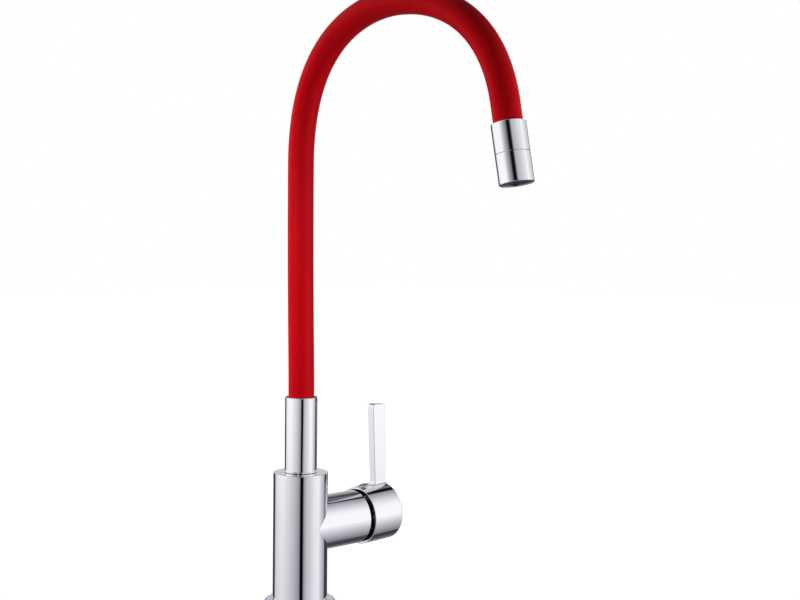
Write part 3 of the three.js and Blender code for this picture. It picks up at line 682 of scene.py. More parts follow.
# A darker, rougher copy of chrome that paints the shade of the deep groove between the housing and the lever's
# cap, on the dome and inside the cap's bore
painted_shade_chrome = make_material("painted_shade_chrome", (0.20, 0.20, 0.215), 1, 0.42, gloss=(60, 0.32, 0.42))
materials = {
    "chrome": make_material("polished_chrome", (0.87, 0.867, 0.905), 1, 0.045, gloss=(60, 0.025, 0.045)),
    "red_silicone": make_material(
        "red_silicone", (0.52, 0.0011, 0.0056), 0, 0.42,
        gloss=(120, 0.40, 0.48),
        tones=(35, (0.505, 0.0009, 0.0052), (0.545, 0.0013, 0.0062)),
        grain=(2600, 0.012 * MM, 0.25),
        Specular_IOR_Level=0.08,
    ),
    "steel": make_material(
        "zinc_steel", (0.56, 0.57, 0.58), 1, 0.3,
        gloss=(300, 0.24, 0.38),
        tones=(180, (0.50, 0.51, 0.52), (0.61, 0.62, 0.63)),
        grain=(900, 0.02 * MM, 0.4),
    ),
    "brass": make_material(
        "turned_brass", (0.66, 0.48, 0.22), 1, 0.3,
        gloss=(260, 0.22, 0.36),
        tones=(120, (0.60, 0.43, 0.19), (0.70, 0.52, 0.25)),
        grain=(700, 0.02 * MM, 0.4, (0.2, 0.2, 3)),
    ),
    "black_rubber": make_material(
        "black_rubber", (0.014, 0.014, 0.015), 0, 0.7,
        gloss=(400, 0.6, 0.82),
        tones=(200, (0.011, 0.011, 0.012), (0.022, 0.022, 0.023)),
        grain=(1800, 0.03 * MM, 0.6),
        Specular_IOR_Level=0.3,
    ),
    "white_plastic": make_plastic("white_plastic", (0.70, 0.70, 0.67), (0.76, 0.76, 0.73), 0.42),
    "hose_plastic": make_plastic("hose_plastic", (0.64, 0.64, 0.60), (0.70, 0.70, 0.66), 0.38),
    "grey_plastic": make_plastic("grey_plastic", (0.030, 0.031, 0.034), (0.040, 0.041, 0.045), 0.4),
    "ceramic": make_plastic("ceramic", (0.78, 0.76, 0.71), (0.84, 0.82, 0.77), 0.18),
}


def dress_cad_nodes():
    """Each CAD node takes the material of its slot."""
    for part in frame["record"]["subparts"]:
        node = frame["nodes"][part["node"]]
        node.data.materials.clear()
        node.data.materials.append(materials[part["material_slot"]])


def fit(obj, body, node, slot, material=None):
    """The piece stands for a CAD node and rides on its body, in its slot's material or in a darker copy of it
    that paints shade.
    """
    obj.data.materials.clear()
    obj.data.materials.append(material or materials[slot])
    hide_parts(node)
    if body:
        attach(obj, body)
    return obj


# Body


def make_body():
    shoulder = FLANGE_HEIGHT + CLEARANCE
    column = turned([
        (0, 0), (NECK_RADIUS, 0, FINE_EDGE),
        (NECK_RADIUS, shoulder), (COLUMN_RADIUS, shoulder, FINE_EDGE),
        (COLUMN_RADIUS, COLUMN_TOP, COLUMN_EDGE), (0, COLUMN_TOP),
    ])
    housing = rod(HOUSING_RADIUS, 0, HOUSING_REACH, 0, HOUSING_EDGE, SIDES)
    cavity = turned([
        (0, CAVITY_START), (CAVITY_RADIUS, CAVITY_START),
        (CAVITY_RADIUS, NUT_SEAT_START), (NUT_SEAT_RADIUS, NUT_SEAT_START),
        (NUT_SEAT_RADIUS, HOUSING_REACH + OVERRUN), (0, HOUSING_REACH + OVERRUN),
    ])
    holes = [
        cavity.moved(BRANCH_PLACE),
        rod(CHAMBER_RADIUS, CHAMBER_FLOOR, COLUMN_TOP + OVERRUN, sides=SIDES),
        rod(STUD_HOLE_RADIUS, -OVERRUN, STUD_INSET + CLEARANCE).moved(STUD_PLACE),
        rod(SET_SCREW_HOLE, 0, COLUMN_RADIUS + OVERRUN).moved(SET_SCREW_PLACE),
    ]
    for across in (-PORT_SPREAD, PORT_SPREAD):
        port = rod(PORT_RADIUS, -OVERRUN, PORT_DEPTH)
        bore = rod(PORT_BORE, PORT_DEPTH - OVERRUN, BRANCH_HEIGHT + SEAT_PORT_RISE)
        holes += [at(port, PORT_FORWARD, across), at(bore, PORT_FORWARD, across)]
    body = carved("body_shell", column, added=[housing.moved(BRANCH_PLACE)], removed=holes)
    fit(body, "body", "body_casting", "chrome")


def make_flange():
    bore = NECK_RADIUS + CLEARANCE
    gasket_outer = GASKET_INNER + GASKET_WIDTH
    groove_inner = GASKET_INNER - CLEARANCE
    groove_outer = gasket_outer + CLEARANCE
    groove_depth = GASKET_HEIGHT + CLEARANCE
    form = turned([
        (bore, 0, FINE_EDGE), (groove_inner, 0),
        (groove_inner, groove_depth), (groove_outer, groove_depth),
        (groove_outer, 0), (FLANGE_RADIUS, 0, FINE_EDGE),
        (FLANGE_RADIUS, FLANGE_HEIGHT, FLANGE_EDGE), (bore, FLANGE_HEIGHT, FINE_EDGE),
    ])
    fit(mesh_object("flange", form), "body", "base_flange", "chrome")
    gasket = ring(GASKET_INNER, gasket_outer, 0, GASKET_HEIGHT, GASKET_EDGE)
    fit(mesh_object("gasket", gasket), "body", "base_gasket", "black_rubber")


def make_fixing():
    thread = threaded_rod(STUD_RADIUS, STUD_ROOT, STUD_PITCH, STUD_FOOT, STUD_INSET, THREAD_SIDES)
    limit = rod(STUD_RADIUS, STUD_FOOT, STUD_INSET, STUD_EDGE, STUD_EDGE)
    stud = carved("stud", thread, kept=[limit])
    stud.data.transform(STUD_PLACE)
    fit(stud, "body", "mounting_stud", "steel")
    for name, node, slot, edge in (
        ("horseshoe_washer", "clamp_washer", "black_rubber", WASHER_EDGE),
        ("horseshoe_plate", "clamp_plate", "steel", PLATE_EDGE),
    ):
        low, high = (corner.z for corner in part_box(node))
        disc = rod(CLAMP_RADIUS, low, high, edge, edge, SIDES)
        opening = block(
            (CLAMP_SLOT_START, -CLAMP_SLOT_HALF, low - OVERRUN),
            (CLAMP_RADIUS + OVERRUN, CLAMP_SLOT_HALF, high + OVERRUN),
        )
        hole = rod(STUD_HOLE_RADIUS, low - OVERRUN, high + OVERRUN).moved(STUD_PLACE)
        fit(carved(name, disc, removed=[opening, hole]), "body", node, slot)
    low, high = (corner.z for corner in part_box("mounting_nut"))
    below, above = low - OVERRUN, high + OVERRUN
    blank = rod(NUT_RADIUS, low, high, NUT_EDGE, NUT_EDGE)
    hexagon = prism(6, NUT_RADIUS, below, above)
    flare = STUD_HOLE_RADIUS + NUT_FLARE
    bore = turned([
        (0, below), (flare, below),
        (STUD_HOLE_RADIUS, low + NUT_FLARE_DEPTH), (STUD_HOLE_RADIUS, high - NUT_FLARE_DEPTH),
        (flare, above), (0, above),
    ], FEW_SIDES)
    nut = carved("hex_nut", blank, kept=[hexagon], removed=[bore])
    nut.data.transform(STUD_PLACE)
    fit(nut, "body", "mounting_nut", "brass")


def make_set_screw():
    """The headless screw that holds the spout, with a hexagon socket in its outer end."""
    low, high = (corner.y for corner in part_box("spout_set_screw"))
    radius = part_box("spout_set_screw")[1].x
    shank = rod(radius, low, high, SET_SCREW_EDGE, SET_SCREW_EDGE)
    socket = prism(6, KEY_SHARE * radius, high - KEY_DEPTH * radius, high + OVERRUN)
    screw = carved("swivel_screw", shank, removed=[socket])
    screw.data.transform(SET_SCREW_PLACE)
    fit(screw, "body", "spout_set_screw", "steel")


def make_dome():
    skirt_start = NUT_END + CLEARANCE
    skirt_end = HOUSING_REACH + CLEARANCE
    skirt_inner = NUT_OUTER - DOME_WALL
    radius = hypot(NUT_OUTER, skirt_end - PIVOT.x)

    def arc(r, first_radius, last_radius):
        turns = steps(acos(first_radius / r), acos(last_radius / r), DOME_STEPS)
        return [(r * cos(a), PIVOT.x + r * sin(a)) for a in turns]

    corners = [(skirt_inner, skirt_start), (NUT_OUTER, skirt_start)]
    corners += arc(radius, NUT_OUTER, DOME_OPENING)
    corners += arc(radius - DOME_WALL, DOME_OPENING, skirt_inner)
    form = turned(corners).moved(BRANCH_PLACE)
    # The dome sits deep in the groove under the cap, so it takes the darkened chrome copy as painted shade
    fit(mesh_object("dome", form), "body", "dome_ring", "chrome", painted_shade_chrome)


# Lever


def draw_in(radius, left):
    """How far a quarter-round edge draws a side in, this far below its end."""
    return radius - sqrt(radius ** 2 - (radius - left) ** 2) if left < radius else 0


def blade_form():
    """The upright blade: a lofted bar with small edge radii, round top corners and a fillet at its foot."""
    fillet_end = CAP_RADIUS + BLADE_FILLET
    corner_start = BLADE_TOP - BLADE_INNER_CORNER
    heights = [BLADE_FOOT, CAP_RADIUS - BLADE_ROOT]
    heights += steps(CAP_RADIUS - FILLET_LEAD, fillet_end, FILLET_STEPS)
    heights += steps(fillet_end, corner_start, BLADE_STEPS)[1:]
    heights += [
        BLADE_TOP - BLADE_INNER_CORNER * (1 - sin(turn))
        for turn in steps(0, pi / 2, CORNER_STEPS)[1:]
    ]
    rows = []
    for z in heights:
        share = (z - BLADE_FOOT) / (BLADE_TOP - BLADE_FOOT)
        inner = BLADE_INNER + (BLADE_TOP_INNER - BLADE_INNER) * share
        outer = CAP_END - HAIR + (BLADE_TOP_OUTER - CAP_END) * share
        half = BLADE_WIDTH / 2
        above = z - CAP_RADIUS + FILLET_SINK
        if above < BLADE_FILLET:
            flare = 1 - sqrt(1 - (1 - max(above, 0) / BLADE_FILLET) ** 2)
            inner -= BLADE_FLARE_IN * flare
            half += BLADE_FLARE_SIDE * flare
        left = BLADE_TOP - z
        inner += draw_in(BLADE_INNER_CORNER, left)
        outer -= draw_in(BLADE_OUTER_CORNER, left)
        half -= draw_in(BLADE_EDGE, left)
        slope = BLADE_TOP_SLOPE * max(0, min(1, (z - BLADE_TOP) / BLADE_SLOPE_RUN + BLADE_SLOPE_LEAD))
        outline = []
        for x, y, start in ((outer, half, 0), (inner, half, 90), (inner, -half, 180), (outer, -half, 270)):
            cx = x - copysign(BLADE_EDGE, x - (inner + outer) / 2)
            cy = y - copysign(BLADE_EDGE, y)
            for degrees in steps(start, start + 90, EDGE_STEPS):
                angle = radians(degrees)
                along = cx + BLADE_EDGE * cos(angle)
                level = z + slope * (BLADE_TOP_LEVEL - along)
                outline.append((along, cy + BLADE_EDGE * sin(angle), level))
        rows.append(outline)
    return grid_form(rows)


def pad_form():
    """The soft raised pad on the cap's crest, in front of the blade's foot."""
    turns = [2 * pi * k / PAD_SIDES for k in range(PAD_SIDES)]
    rows = []
    for degrees in steps(*PAD_ARC, PAD_STEPS):
        rise = radians(degrees)
        length = PAD_HALF_LENGTH * cos(rise)
        width = PAD_HALF_WIDTH * cos(rise)
        level = CAP_RADIUS + PAD_RISE - PAD_DEPTH + PAD_DEPTH * sin(rise)
        rows.append([(PAD_PLACE + length * cos(t), width * sin(t), level) for t in turns])
    return grid_form(rows)


def make_lever():
    inner_end = CAP_END - CAP_END_WALL
    cap = turned([
        (CAP_BORE, CAP_START, FINE_EDGE), (CAP_RADIUS, CAP_START, CAP_START_EDGE),
        (CAP_RADIUS, CAP_END, CAP_EDGE), (0, CAP_END),
        (0, inner_end), (CAP_BORE, inner_end, CAP_INNER_EDGE),
    ]).moved(ALONG_X)
    lift = tan(SOCKET_LEAN) * (HUB_START + CAP_END) / 2
    hub = at(rod(HUB_RADIUS, HUB_START, inner_end + OVERLAP).moved(ALONG_X), z=lift)
    reach = CAP_RADIUS + OVERRUN
    relief = block((-RELIEF_DEPTH - OVERRUN, -reach, -2 * RELIEF_HEIGHT), (0, reach, 0))
    relief = relief.moved(Matrix.Rotation(atan2(RELIEF_DEPTH, RELIEF_HEIGHT), 4, "Y"))
    relief = at(relief, x=CAP_START, z=RELIEF_HEIGHT - CAP_RADIUS)
    socket = block((0, -SOCKET_HALF, -SOCKET_HALF), (SOCKET_END, SOCKET_HALF, SOCKET_HALF))
    socket = socket.moved(Matrix.Rotation(-SOCKET_LEAN, 4, "Y"))
    screw_bore = at(rod(LEVER_SCREW_HOLE, -CAP_BORE, LEVER_SCREW_TOP), x=LEVER_SCREW_PLACE)
    plug_bore = rod(PLUG_RADIUS + CLEARANCE, -reach, -CAP_BORE + OVERRUN)
    removed = [relief, socket, screw_bore, at(plug_bore, x=LEVER_SCREW_PLACE)]
    handle = carved("handle", cap, added=[hub, blade_form(), pad_form()], removed=removed)
    inner_faces = [
        face.index for face in handle.data.polygons
        if hypot(face.center.y, face.center.z) < CAP_BORE + FINE_EDGE
        and CAP_START + FINE_EDGE < face.center.x < CAP_END - FINE_EDGE
    ]
    handle.data.transform(LEVER_PLACE)
    fit(handle, "lever", "lever_handle", "chrome")
    # The faces inside the cap's bore take the darkened chrome copy, as painted shade of the groove
    handle.data.materials.append(painted_shade_chrome)
    for index in inner_faces:
        handle.data.polygons[index].material_index = 1
    low = PLUG_INSET - CAP_RADIUS
    high = low + PLUG_HEIGHT
    plug = turned([
        (0, low - PLUG_CROWN), (PLUG_RADIUS, low, PLUG_EDGE),
        (PLUG_RADIUS, high, FINE_EDGE), (0, high),
    ], FEW_SIDES)
    plug = mesh_object("plug", at(plug, x=LEVER_SCREW_PLACE).moved(LEVER_PLACE))
    fit(plug, "lever", "lever_plug", "grey_plastic")


# Collar, spout and outlet


def make_collar():
    nipple_bore = SPIGOT_BORE + NIPPLE_WALL
    nipple_foot = SEAT_HEIGHT - NIPPLE_DEPTH
    form = turned([
        (SPIGOT_BORE, SPIGOT_FOOT), (SPIGOT_RADIUS, SPIGOT_FOOT, SPIGOT_EDGE),
        (SPIGOT_RADIUS, COLLAR_FOOT), (COLLAR_LIP_INNER, COLLAR_FOOT),
        (COLLAR_LIP_INNER, COLLAR_LIP_FOOT), (COLLAR_RADIUS, COLLAR_LIP_FOOT, COLLAR_LIP_EDGE),
        (COLLAR_RADIUS, COLLAR_TOP, COLLAR_EDGE), (SOCKET_RADIUS, COLLAR_TOP, FINE_EDGE),
        (SOCKET_RADIUS, SEAT_HEIGHT), (nipple_bore, SEAT_HEIGHT),
        (nipple_bore, nipple_foot), (SPIGOT_BORE, nipple_foot),
    ])
    fit(mesh_object("collar", form), "spout", "spout_collar", "chrome")
    slip = ring(SLIP_RING_INNER, SLIP_RING_OUTER, SLIP_RING_FOOT, SLIP_RING_TOP, SLIP_RING_EDGE)
    fit(mesh_object("slip", slip), "body", "slip_ring", "grey_plastic")


def curve(first, first_pull, last_pull, last):
    """A Bezier curve that leaves its first point along one pull and reaches its last along the other."""
    t = np.linspace(0, 1, BEZIER_STEPS + 1)[:, None]
    q, r = first + first_pull, last - last_pull
    return (1 - t) ** 3 * first + 3 * (1 - t) ** 2 * t * q + 3 * (1 - t) * t ** 2 * r + t ** 3 * last


def spout_line(count):
    """Evenly spaced points and directions along the spout's line, as (reach, height), and its length."""
    across, up = np.array((1, 0)), np.array((0, 1))
    down = np.array((sin(OUTLET_TILT), -cos(OUTLET_TILT)))
    leg = (LEG_BOW_HEIGHT - COLLAR_TOP) * up
    rise = (ARCH_TOP - LEG_BOW_HEIGHT) * up
    collar = np.array((0, COLLAR_TOP))
    bow = np.array((-LEG_BOW, LEG_BOW_HEIGHT))
    crown = np.array((ARCH_TOP_REACH, ARCH_TOP))
    outlet = np.array((SPOUT_REACH, OUTLET_HEIGHT))
    to_crown = (ARCH_TOP_REACH + LEG_BOW) * across
    past_crown = (SPOUT_REACH - ARCH_TOP_REACH) * across
    fall = (ARCH_TOP - OUTLET_HEIGHT) * down
    raw = np.concatenate([
        [(0, SPOUT_FOOT)],
        curve(collar, LEG_PULLS[0] * leg, LEG_PULLS[1] * leg, bow),
        curve(bow, ARCH_PULLS[0] * rise, ARCH_PULLS[1] * to_crown, crown),
        curve(crown, TIP_PULLS[0] * past_crown, TIP_PULLS[1] * fall, outlet - TIP_STRAIGHT * down),
        [outlet + TIP_STRAIGHT * down],
    ])
    keep = np.concatenate([[True], norm(np.diff(raw, axis=0), axis=1) > TINY])
    raw = raw[keep]
    travel = np.concatenate([[0], np.cumsum(norm(np.diff(raw, axis=0), axis=1))])
    even = np.linspace(0, travel[-1], count)
    places = np.stack([np.interp(even, travel, raw[:, i]) for i in range(2)], 1)
    directions = np.gradient(places, axis=0)
    directions /= norm(directions, axis=1, keepdims=True)
    return places, directions, travel[-1]


def swept_rows(radii, places, directions, sides):
    """Rings of the given radii across the spout's line, wound so that the skin faces outwards."""
    angles = np.arange(sides) * 2 * pi / sides
    sideways = np.array((-1, 0, 0))
    rows = []
    for radius, (reach, height), (dr, dh) in zip(radii, places, directions):
        centre = np.array((0, -reach, height))
        across = np.array((0, -dh, -dr))
        rows.append([centre + radius * (cos(a) * across + sin(a) * sideways) for a in angles])
    return np.array(rows)


def tube_form(outer_radii, inner_radius, sides):
    """A hose along the spout's line: an outer skin and a bore, closed into one ring-shaped solid."""
    count = len(outer_radii)
    places, directions, _ = spout_line(count)
    outer = swept_rows(outer_radii, places, directions, sides)
    inner = swept_rows([inner_radius] * count, places, directions, sides)
    rows = np.concatenate([outer, inner[::-1]])
    total = len(rows)
    around = np.roll(rows, -1, 1) - np.roll(rows, 1, 1)
    normal = np.zeros_like(rows)
    normal[:count] = np.cross(around[:count], np.gradient(outer, axis=0))
    normal[count:] = np.cross(around[count:], np.gradient(rows[count:], axis=0))
    normal /= norm(normal, axis=2, keepdims=True)
    faces, normals = [], []
    for j in range(total):
        join_rings(faces, normals, normal, j, (j + 1) % total)
    # The two ends are flat
    for j, tangent in ((count - 1, directions[-1]), (total - 1, -directions[0])):
        normals[j * sides:(j + 1) * sides] = [[(0, -tangent[0], tangent[1])] * 4] * sides
    return Form(rows.reshape(-1, 3), faces, normals)


def make_spout():
    _, _, length = spout_line(SLEEVE_RINGS)
    sleeve = tube_form([SLEEVE_RADIUS] * SLEEVE_RINGS, SLEEVE_BORE, TUBE_SIDES)
    coil = [CORE_RADIUS - dip for dip in CORE_DIPS]
    core = tube_form(coil * int(length / CORE_PITCH), CORE_BORE, CORE_SIDES)
    hose = tube_form([HOSE_RADIUS] * HOSE_RINGS, HOSE_BORE, HOSE_SIDES)
    for name, form, node, slot in (
        ("sleeve", sleeve, "spout_sleeve", "red_silicone"),
        ("wound_core", core, "gooseneck_core", "steel"),
        ("inner_hose", hose, "water_hose", "hose_plastic"),
    ):
        obj = fit(mesh_object(name, form), None, node, slot)
        obj.visible_glossy = False
        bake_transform(obj)


def make_outlet():
    ferrule = turned([
        (FERRULE_BORE, FERRULE_END), (FERRULE_THREAD, FERRULE_END, FINE_EDGE),
        (FERRULE_THREAD, -FERRULE_LENGTH), (OUTLET_RADIUS, -FERRULE_LENGTH, SEAM_EDGE),
        (OUTLET_RADIUS, 0, OUTLET_EDGE), (SOCKET_RADIUS, 0, FINE_EDGE),
        (SOCKET_RADIUS, FERRULE_SEAT), (FERRULE_BORE, FERRULE_SEAT),
    ])
    housing = turned([
        (LIP_RADIUS, HOUSING_FACE, LIP_EDGE), (OUTLET_RADIUS, HOUSING_FACE, OUTLET_EDGE),
        (OUTLET_RADIUS, HOUSING_TOP, SEAM_EDGE), (SHELL_BORE, HOUSING_TOP),
        (SHELL_BORE, LIP_TOP), (LIP_RADIUS, LIP_TOP),
    ])
    cup = turned([
        (0, INSERT_PLATE), (INSERT_BORE, INSERT_PLATE),
        (INSERT_BORE, INSERT_FOOT, INSERT_EDGE), (INSERT_RADIUS, INSERT_FOOT),
        (INSERT_RADIUS, INSERT_TOP), (0, INSERT_TOP),
    ], TUBE_SIDES)
    for name, form, node, slot in (
        ("ferrule", ferrule, "outlet_ferrule", "chrome"),
        ("aerator_shell", housing, "aerator_housing", "chrome"),
        ("aerator_cup", cup, "aerator_insert", "grey_plastic"),
    ):
        fit(mesh_object(name, form.moved(OUTLET_PLACE)), "outlet", node, slot)
    cells = []
    span = range(-CELL_RINGS, CELL_RINGS + 1)
    for a in span:
        for b in span:
            x = CELL_PITCH * (a + b / 2)
            y = CELL_PITCH * b * sqrt(3) / 2
            if hypot(x, y) + CELL_RADIUS < INSERT_BORE - CELL_MARGIN:
                cells.append(prism(6, CELL_RADIUS, CELL_FOOT - OVERRUN, CELL_TOP + OVERRUN, (x, y)))
    plate = rod(INSERT_BORE - CLEARANCE, CELL_FOOT, CELL_TOP, sides=TUBE_SIDES)
    honeycomb = carved("honeycomb", plate, removed=[together(*cells)])
    honeycomb.data.transform(OUTLET_PLACE)
    fit(honeycomb, "outlet", "flow_straightener", "grey_plastic")


# Studio


def make_camera():
    camera = add_object("camera", bpy.data.cameras.new("camera"))
    camera.data.lens = LENS
    camera.data.sensor_width = SENSOR
    camera.data.sensor_fit = "HORIZONTAL"
    camera.data.clip_start, camera.data.clip_end = CLIP
    forward = Vector((
        cos(VIEW_PITCH) * sin(VIEW_YAW),
        cos(VIEW_PITCH) * cos(VIEW_YAW),
        -sin(VIEW_PITCH),
    ))
    up = VIEW_RIGHT.cross(forward)
    tilted_right = cos(VIEW_ROLL) * VIEW_RIGHT + sin(VIEW_ROLL) * up
    tilted_up = -sin(VIEW_ROLL) * VIEW_RIGHT + cos(VIEW_ROLL) * up
    turn = Matrix((tilted_right, tilted_up, -forward)).transposed()
    camera.matrix_world = Matrix.Translation(VIEW_PLACE) @ turn.to_4x4()
    scene.camera = camera


def ramp_node(tree, source, span, stops):
    """A grey ramp over stops of (degrees, grey), where the source runs from 0 to 1 over the span around 0."""
    ramp = add_node(tree, "ValToRGB", source)
    elements = ramp.color_ramp.elements
    elements.remove(elements[-1])
    for i, (degrees, grey) in enumerate(stops):
        place = 0.5 + degrees / span
        element = elements[0] if i == 0 else elements.new(place)
        element.position = place
        element.color = (grey, grey, grey, 1)
    return ramp.outputs["Color"]


def math_node(tree, operation, *values):
    node = add_node(tree, "Math", *values)
    node.operation = operation
    return node.outputs["Value"]


def studio_brightness(tree):
    """How bright the studio is, by bearing (0 is the camera's side, more is to its right) and elevation."""
    def calc(operation, *values):
        return math_node(tree, operation, *values)

    def times(first, second):
        return calc("MULTIPLY", first, second)

    def mixed(share, first, second):
        """first * (1 - share) + second * share"""
        return calc("MULTIPLY_ADD", calc("SUBTRACT", second, first), share, first)

    place = add_node(tree, "TexCoord").outputs["Generated"]
    turn = add_node(tree, "Mapping", Vector=place, Rotation=(0, 0, VIEW_YAW))
    axes = add_node(tree, "SeparateXYZ", turn.outputs["Vector"]).outputs
    azimuth = calc("ARCTAN2", axes["X"], times(axes["Y"], -1))
    bearing = calc("MULTIPLY_ADD", azimuth, 0.5 / pi, 0.5)
    elevation = calc("ARCSINE", axes["Z"])
    height = calc("MULTIPLY_ADD", elevation, 1 / pi, 0.5)

    def around(place, stops):
        return ramp_node(tree, place, 360, stops)

    def upward(stops):
        return ramp_node(tree, height, 180, stops)

    # The softboxes stand closer than the walls, so their far edges move back above and below eye level
    tilt = times(elevation, SOFTBOX_TILT)
    drift = calc("MULTIPLY_ADD", calc("ABSOLUTE", elevation), SOFTBOX_DRIFT, tilt)
    side = calc("ABSOLUTE", azimuth)
    beside = calc("MINIMUM", times(side, DRIFT_GROWTH), 1)
    near_bearing = times(calc("SUBTRACT", side, times(drift, beside)), calc("SIGN", azimuth))
    # The dark gap in front stands at a slant, from right of the camera below eye level to left of it above
    in_front = around(bearing, [(-78, 0), (-46, 1), (46, 1), (78, 0)])
    slant_place = upward([(-11, 0.1), (-8, 0), (-5, 0), (10, 0.3), (16, 1)])
    slant = calc("MULTIPLY_ADD", slant_place, SLANT_SPAN, SLANT_START)
    front_bearing = calc("ADD", near_bearing, times(times(slant, in_front), pi / 180))
    near_place = calc("MULTIPLY_ADD", front_bearing, 0.5 / pi, 0.5)
    softboxes = around(near_place, [
        (-122, 0.68), (-107, 0.81), (-80, 0.9), (-71, 0.88), (-61, 0.8), (-52, 0.73), (-34, 0.59),
        (-25, 0.52), (-16, 0.42), (-10, 0.35), (-5.2, 0.22), (-4, 0.002), (6.6, 0.002), (8.8, 0.21),
        (12.5, 0.39), (24, 0.62), (43, 0.77), (62, 0.93), (72, 0.96), (85, 1), (95, 0.8), (108, 0.58),
        (121, 0.42),
    ])
    rise = upward([
        (-90, 0.45), (-49, 0.52), (-41, 0.58), (-29, 0.68), (-22, 0.8), (-16, 0.91), (-12, 0.96),
        (-8, 1.04), (-3, 1.1), (19, 1.1), (25, 1.05), (36, 0.95), (50, 0.84), (90, 0.4),
    ])
    lift_left = around(bearing, [(-20, 1), (0, 0)])
    lift = times(lift_left, upward([(-15, 0), (-9, 0.1), (-5, 0.16), (10, 0.14), (20, 0)]))
    # Well to either side, the softboxes darken faster towards the floor
    far_side = around(bearing, [(-80, 1), (-52, 0), (52, 0), (80, 1)])
    lower = upward([
        (-50, 0.06), (-44, 0.08), (-22, 0.08), (-14, 0.1), (-12, 0.09), (-9, 0.15), (-7, 0.14), (-4, 0.09),
    ])
    lift = calc("MULTIPLY_ADD", far_side, calc("ADD", lower, LOWER_OFFSET), lift)
    front = times(times(softboxes, rise), calc("ADD", 1, lift))
    # The gap in front reaches further right below eye level
    wider_right = around(near_place, [(5, 0), (6, 1), (9, 1), (11, 0)])
    wider = times(wider_right, upward([(-10, 0), (-8.6, 1), (-4, 1), (-2, 0)]))
    front = mixed(wider, front, GAP_GREY)
    # The wall behind the object, with a bright low band and high dark gaps beside it
    behind = upward([
        (-90, 0.3), (-46, 0.045), (-40, 0.12), (-30, 0.16), (-20, 0.045), (2, 0.045), (7.5, 0.06),
        (9.4, 0.62), (14, 0.58), (20, 0.43), (27, 0.25), (34, 0.13), (36, 0.05), (39, 0.06), (43, 0.17),
        (46, 0.2), (90, 0.3),
    ])
    far_box = around(bearing, [(-180, 0.55), (-170, 0.55), (-164, 0), (164, 0), (170, 0.55), (180, 0.55)])
    low_band = upward([(-16, 0.1), (-13.5, 1), (2, 1), (6, 0)])
    is_gap = around(near_place, [(124, 0), (127, 1), (143, 1), (147, 0)])
    is_high = upward([(20, 0), (40, 1)])
    back = mixed(times(is_gap, is_high), calc("MULTIPLY_ADD", far_box, low_band, behind), BACK_GAP_GREY)
    is_behind = around(near_place, [(-131, 1), (-123, 0), (121, 0), (126, 1)])
    level = mixed(is_behind, front, back)
    # Above eye level, a band of softboxes has its own greys
    upper = around(bearing, [
        (-149, 0.02), (-143, 0.1), (-137, 0.68), (-124, 1.02), (-113, 1.09), (-80, 1.07), (-70, 0.98),
        (-63, 0.84), (-57, 0.7), (-50, 0.54), (-44, 0.43), (-37, 0.33), (-31, 0.25), (-25, 0.1),
        (-19, 0.008), (-5, 0.002), (0, 0.08), (6, 0.4), (12, 0.515), (19, 0.55), (32, 0.616), (47, 0.71),
        (62, 0.835), (79, 0.895), (98, 0.895), (108, 0.86), (120, 0.73), (136, 0.62), (148, 0.52),
    ])
    on_left = around(bearing, [(-85, 1), (-70, 0)])
    left_band = times(on_left, upward([(-6, 0), (-3, 1), (22, 1), (30, 0)]))
    beside_gap = around(bearing, [(-26, 1), (-20, 0), (14, 0), (20, 1)])
    side_band = times(beside_gap, upward([(2, 0), (9, 1), (22, 1), (30, 0)]))
    band = calc("MAXIMUM", left_band, side_band)
    band = calc("MAXIMUM", band, upward([(12, 0), (14.5, 1), (22, 1), (30, 0)]))
    within = around(bearing, [
        (-154, 0), (-149, 1), (74, 1), (82, 0), (100, 0), (108, 1), (148, 1), (155, 0),
    ])
    return mixed(times(band, within), level, upper)


def make_world():
    """A white studio: the camera sees white, and metal sees tall softboxes with dark gaps between them."""
    world = bpy.data.worlds.new("studio")
    scene.world = world
    world.use_nodes = True
    tree = world.node_tree
    tree.nodes.clear()
    level = studio_brightness(tree)
    bluer = math_node(tree, "MULTIPLY_ADD", level, -STUDIO_BLUE, 1 + STUDIO_BLUE)
    blue = math_node(tree, "MULTIPLY", level, bluer)
    tint = add_node(tree, "CombineColor", level, level, blue).outputs["Color"]
    studio = add_node(tree, "Background", tint).outputs["Background"]
    plain = add_node(tree, "Background", WHITE, AMBIENT).outputs["Background"]
    white = add_node(tree, "Background", WHITE).outputs["Background"]
    paths = add_node(tree, "LightPath").outputs
    glossy = add_node(tree, "MixShader", paths["Is Glossy Ray"], plain, studio).outputs["Shader"]
    seen = add_node(tree, "MixShader", paths["Is Camera Ray"], glossy, white).outputs["Shader"]
    add_node(tree, "OutputWorld", seen)


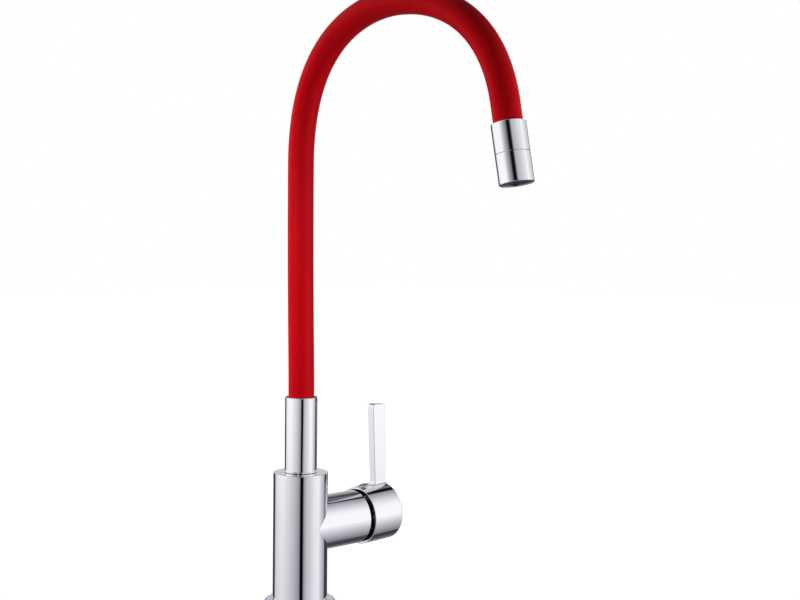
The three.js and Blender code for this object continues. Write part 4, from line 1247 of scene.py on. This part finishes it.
def make_floor():
    """A floor just below the part. The camera sees it as white with a soft shadow."""
    level = cad_box[0].z - FLOOR_DROP
    corners = [(FLOOR_HALF * x, FLOOR_HALF * y, level) for x, y in ((-1, -1), (1, -1), (1, 1), (-1, 1))]
    floor = mesh_object("floor", flat_form(corners, [(0, 1, 2, 3)]))
    material = make_material("floor", (0.2, 0.2, 0.2), 0, 0.9, Specular_IOR_Level=0)
    tree = material.node_tree
    distance = add_node(tree, "VectorMath", add_node(tree, "TexCoord").outputs["Object"])
    distance.operation = "LENGTH"
    fill = add_node(tree, "MapRange", distance.outputs["Value"], *FLOOR_FADE, FLOOR_FILL_NEAR, 1)
    fill.interpolation_type = "SMOOTHSTEP"
    seen = add_node(tree, "LightPath").outputs["Is Camera Ray"]
    strength = math_node(tree, "MULTIPLY", fill.outputs["Result"], seen)
    feed_surface(material, Emission_Color=WHITE, Emission_Strength=strength)
    floor.data.materials.append(material)
    floor.visible_glossy = False


def make_lamp(name, aim, bearing, elevation, distance, size, power):
    """A soft lamp aimed at a height. Its bearing is from the camera's side, to the right."""
    lamp = bpy.data.lights.new(name, "AREA")
    lamp.shape = "RECTANGLE"
    lamp.size, lamp.size_y = size
    lamp.energy = power
    obj = add_object(name, lamp)
    target = Vector((0, LAMP_AIM_Y, aim))
    toward_camera = Vector((-sin(VIEW_YAW), -cos(VIEW_YAW), 0))
    angle, rise = radians(bearing), radians(elevation)
    level = cos(angle) * toward_camera + sin(angle) * VIEW_RIGHT
    direction = cos(rise) * level + sin(rise) * Vector((0, 0, 1))
    obj.location = target + distance * direction
    obj.rotation_euler = direction.to_track_quat("Z", "Y").to_euler()
    obj.visible_glossy = False
    obj.visible_camera = False


make_camera()
make_world()
make_floor()
for lamp_values in LAMPS:
    make_lamp(*lamp_values)
scene.view_settings.view_transform = "Standard"
dress_cad_nodes()
make_body()
make_flange()
make_fixing()
make_set_screw()
make_dome()
make_lever()
make_collar()
make_spout()
make_outlet()

bpy.context.view_layer.update()
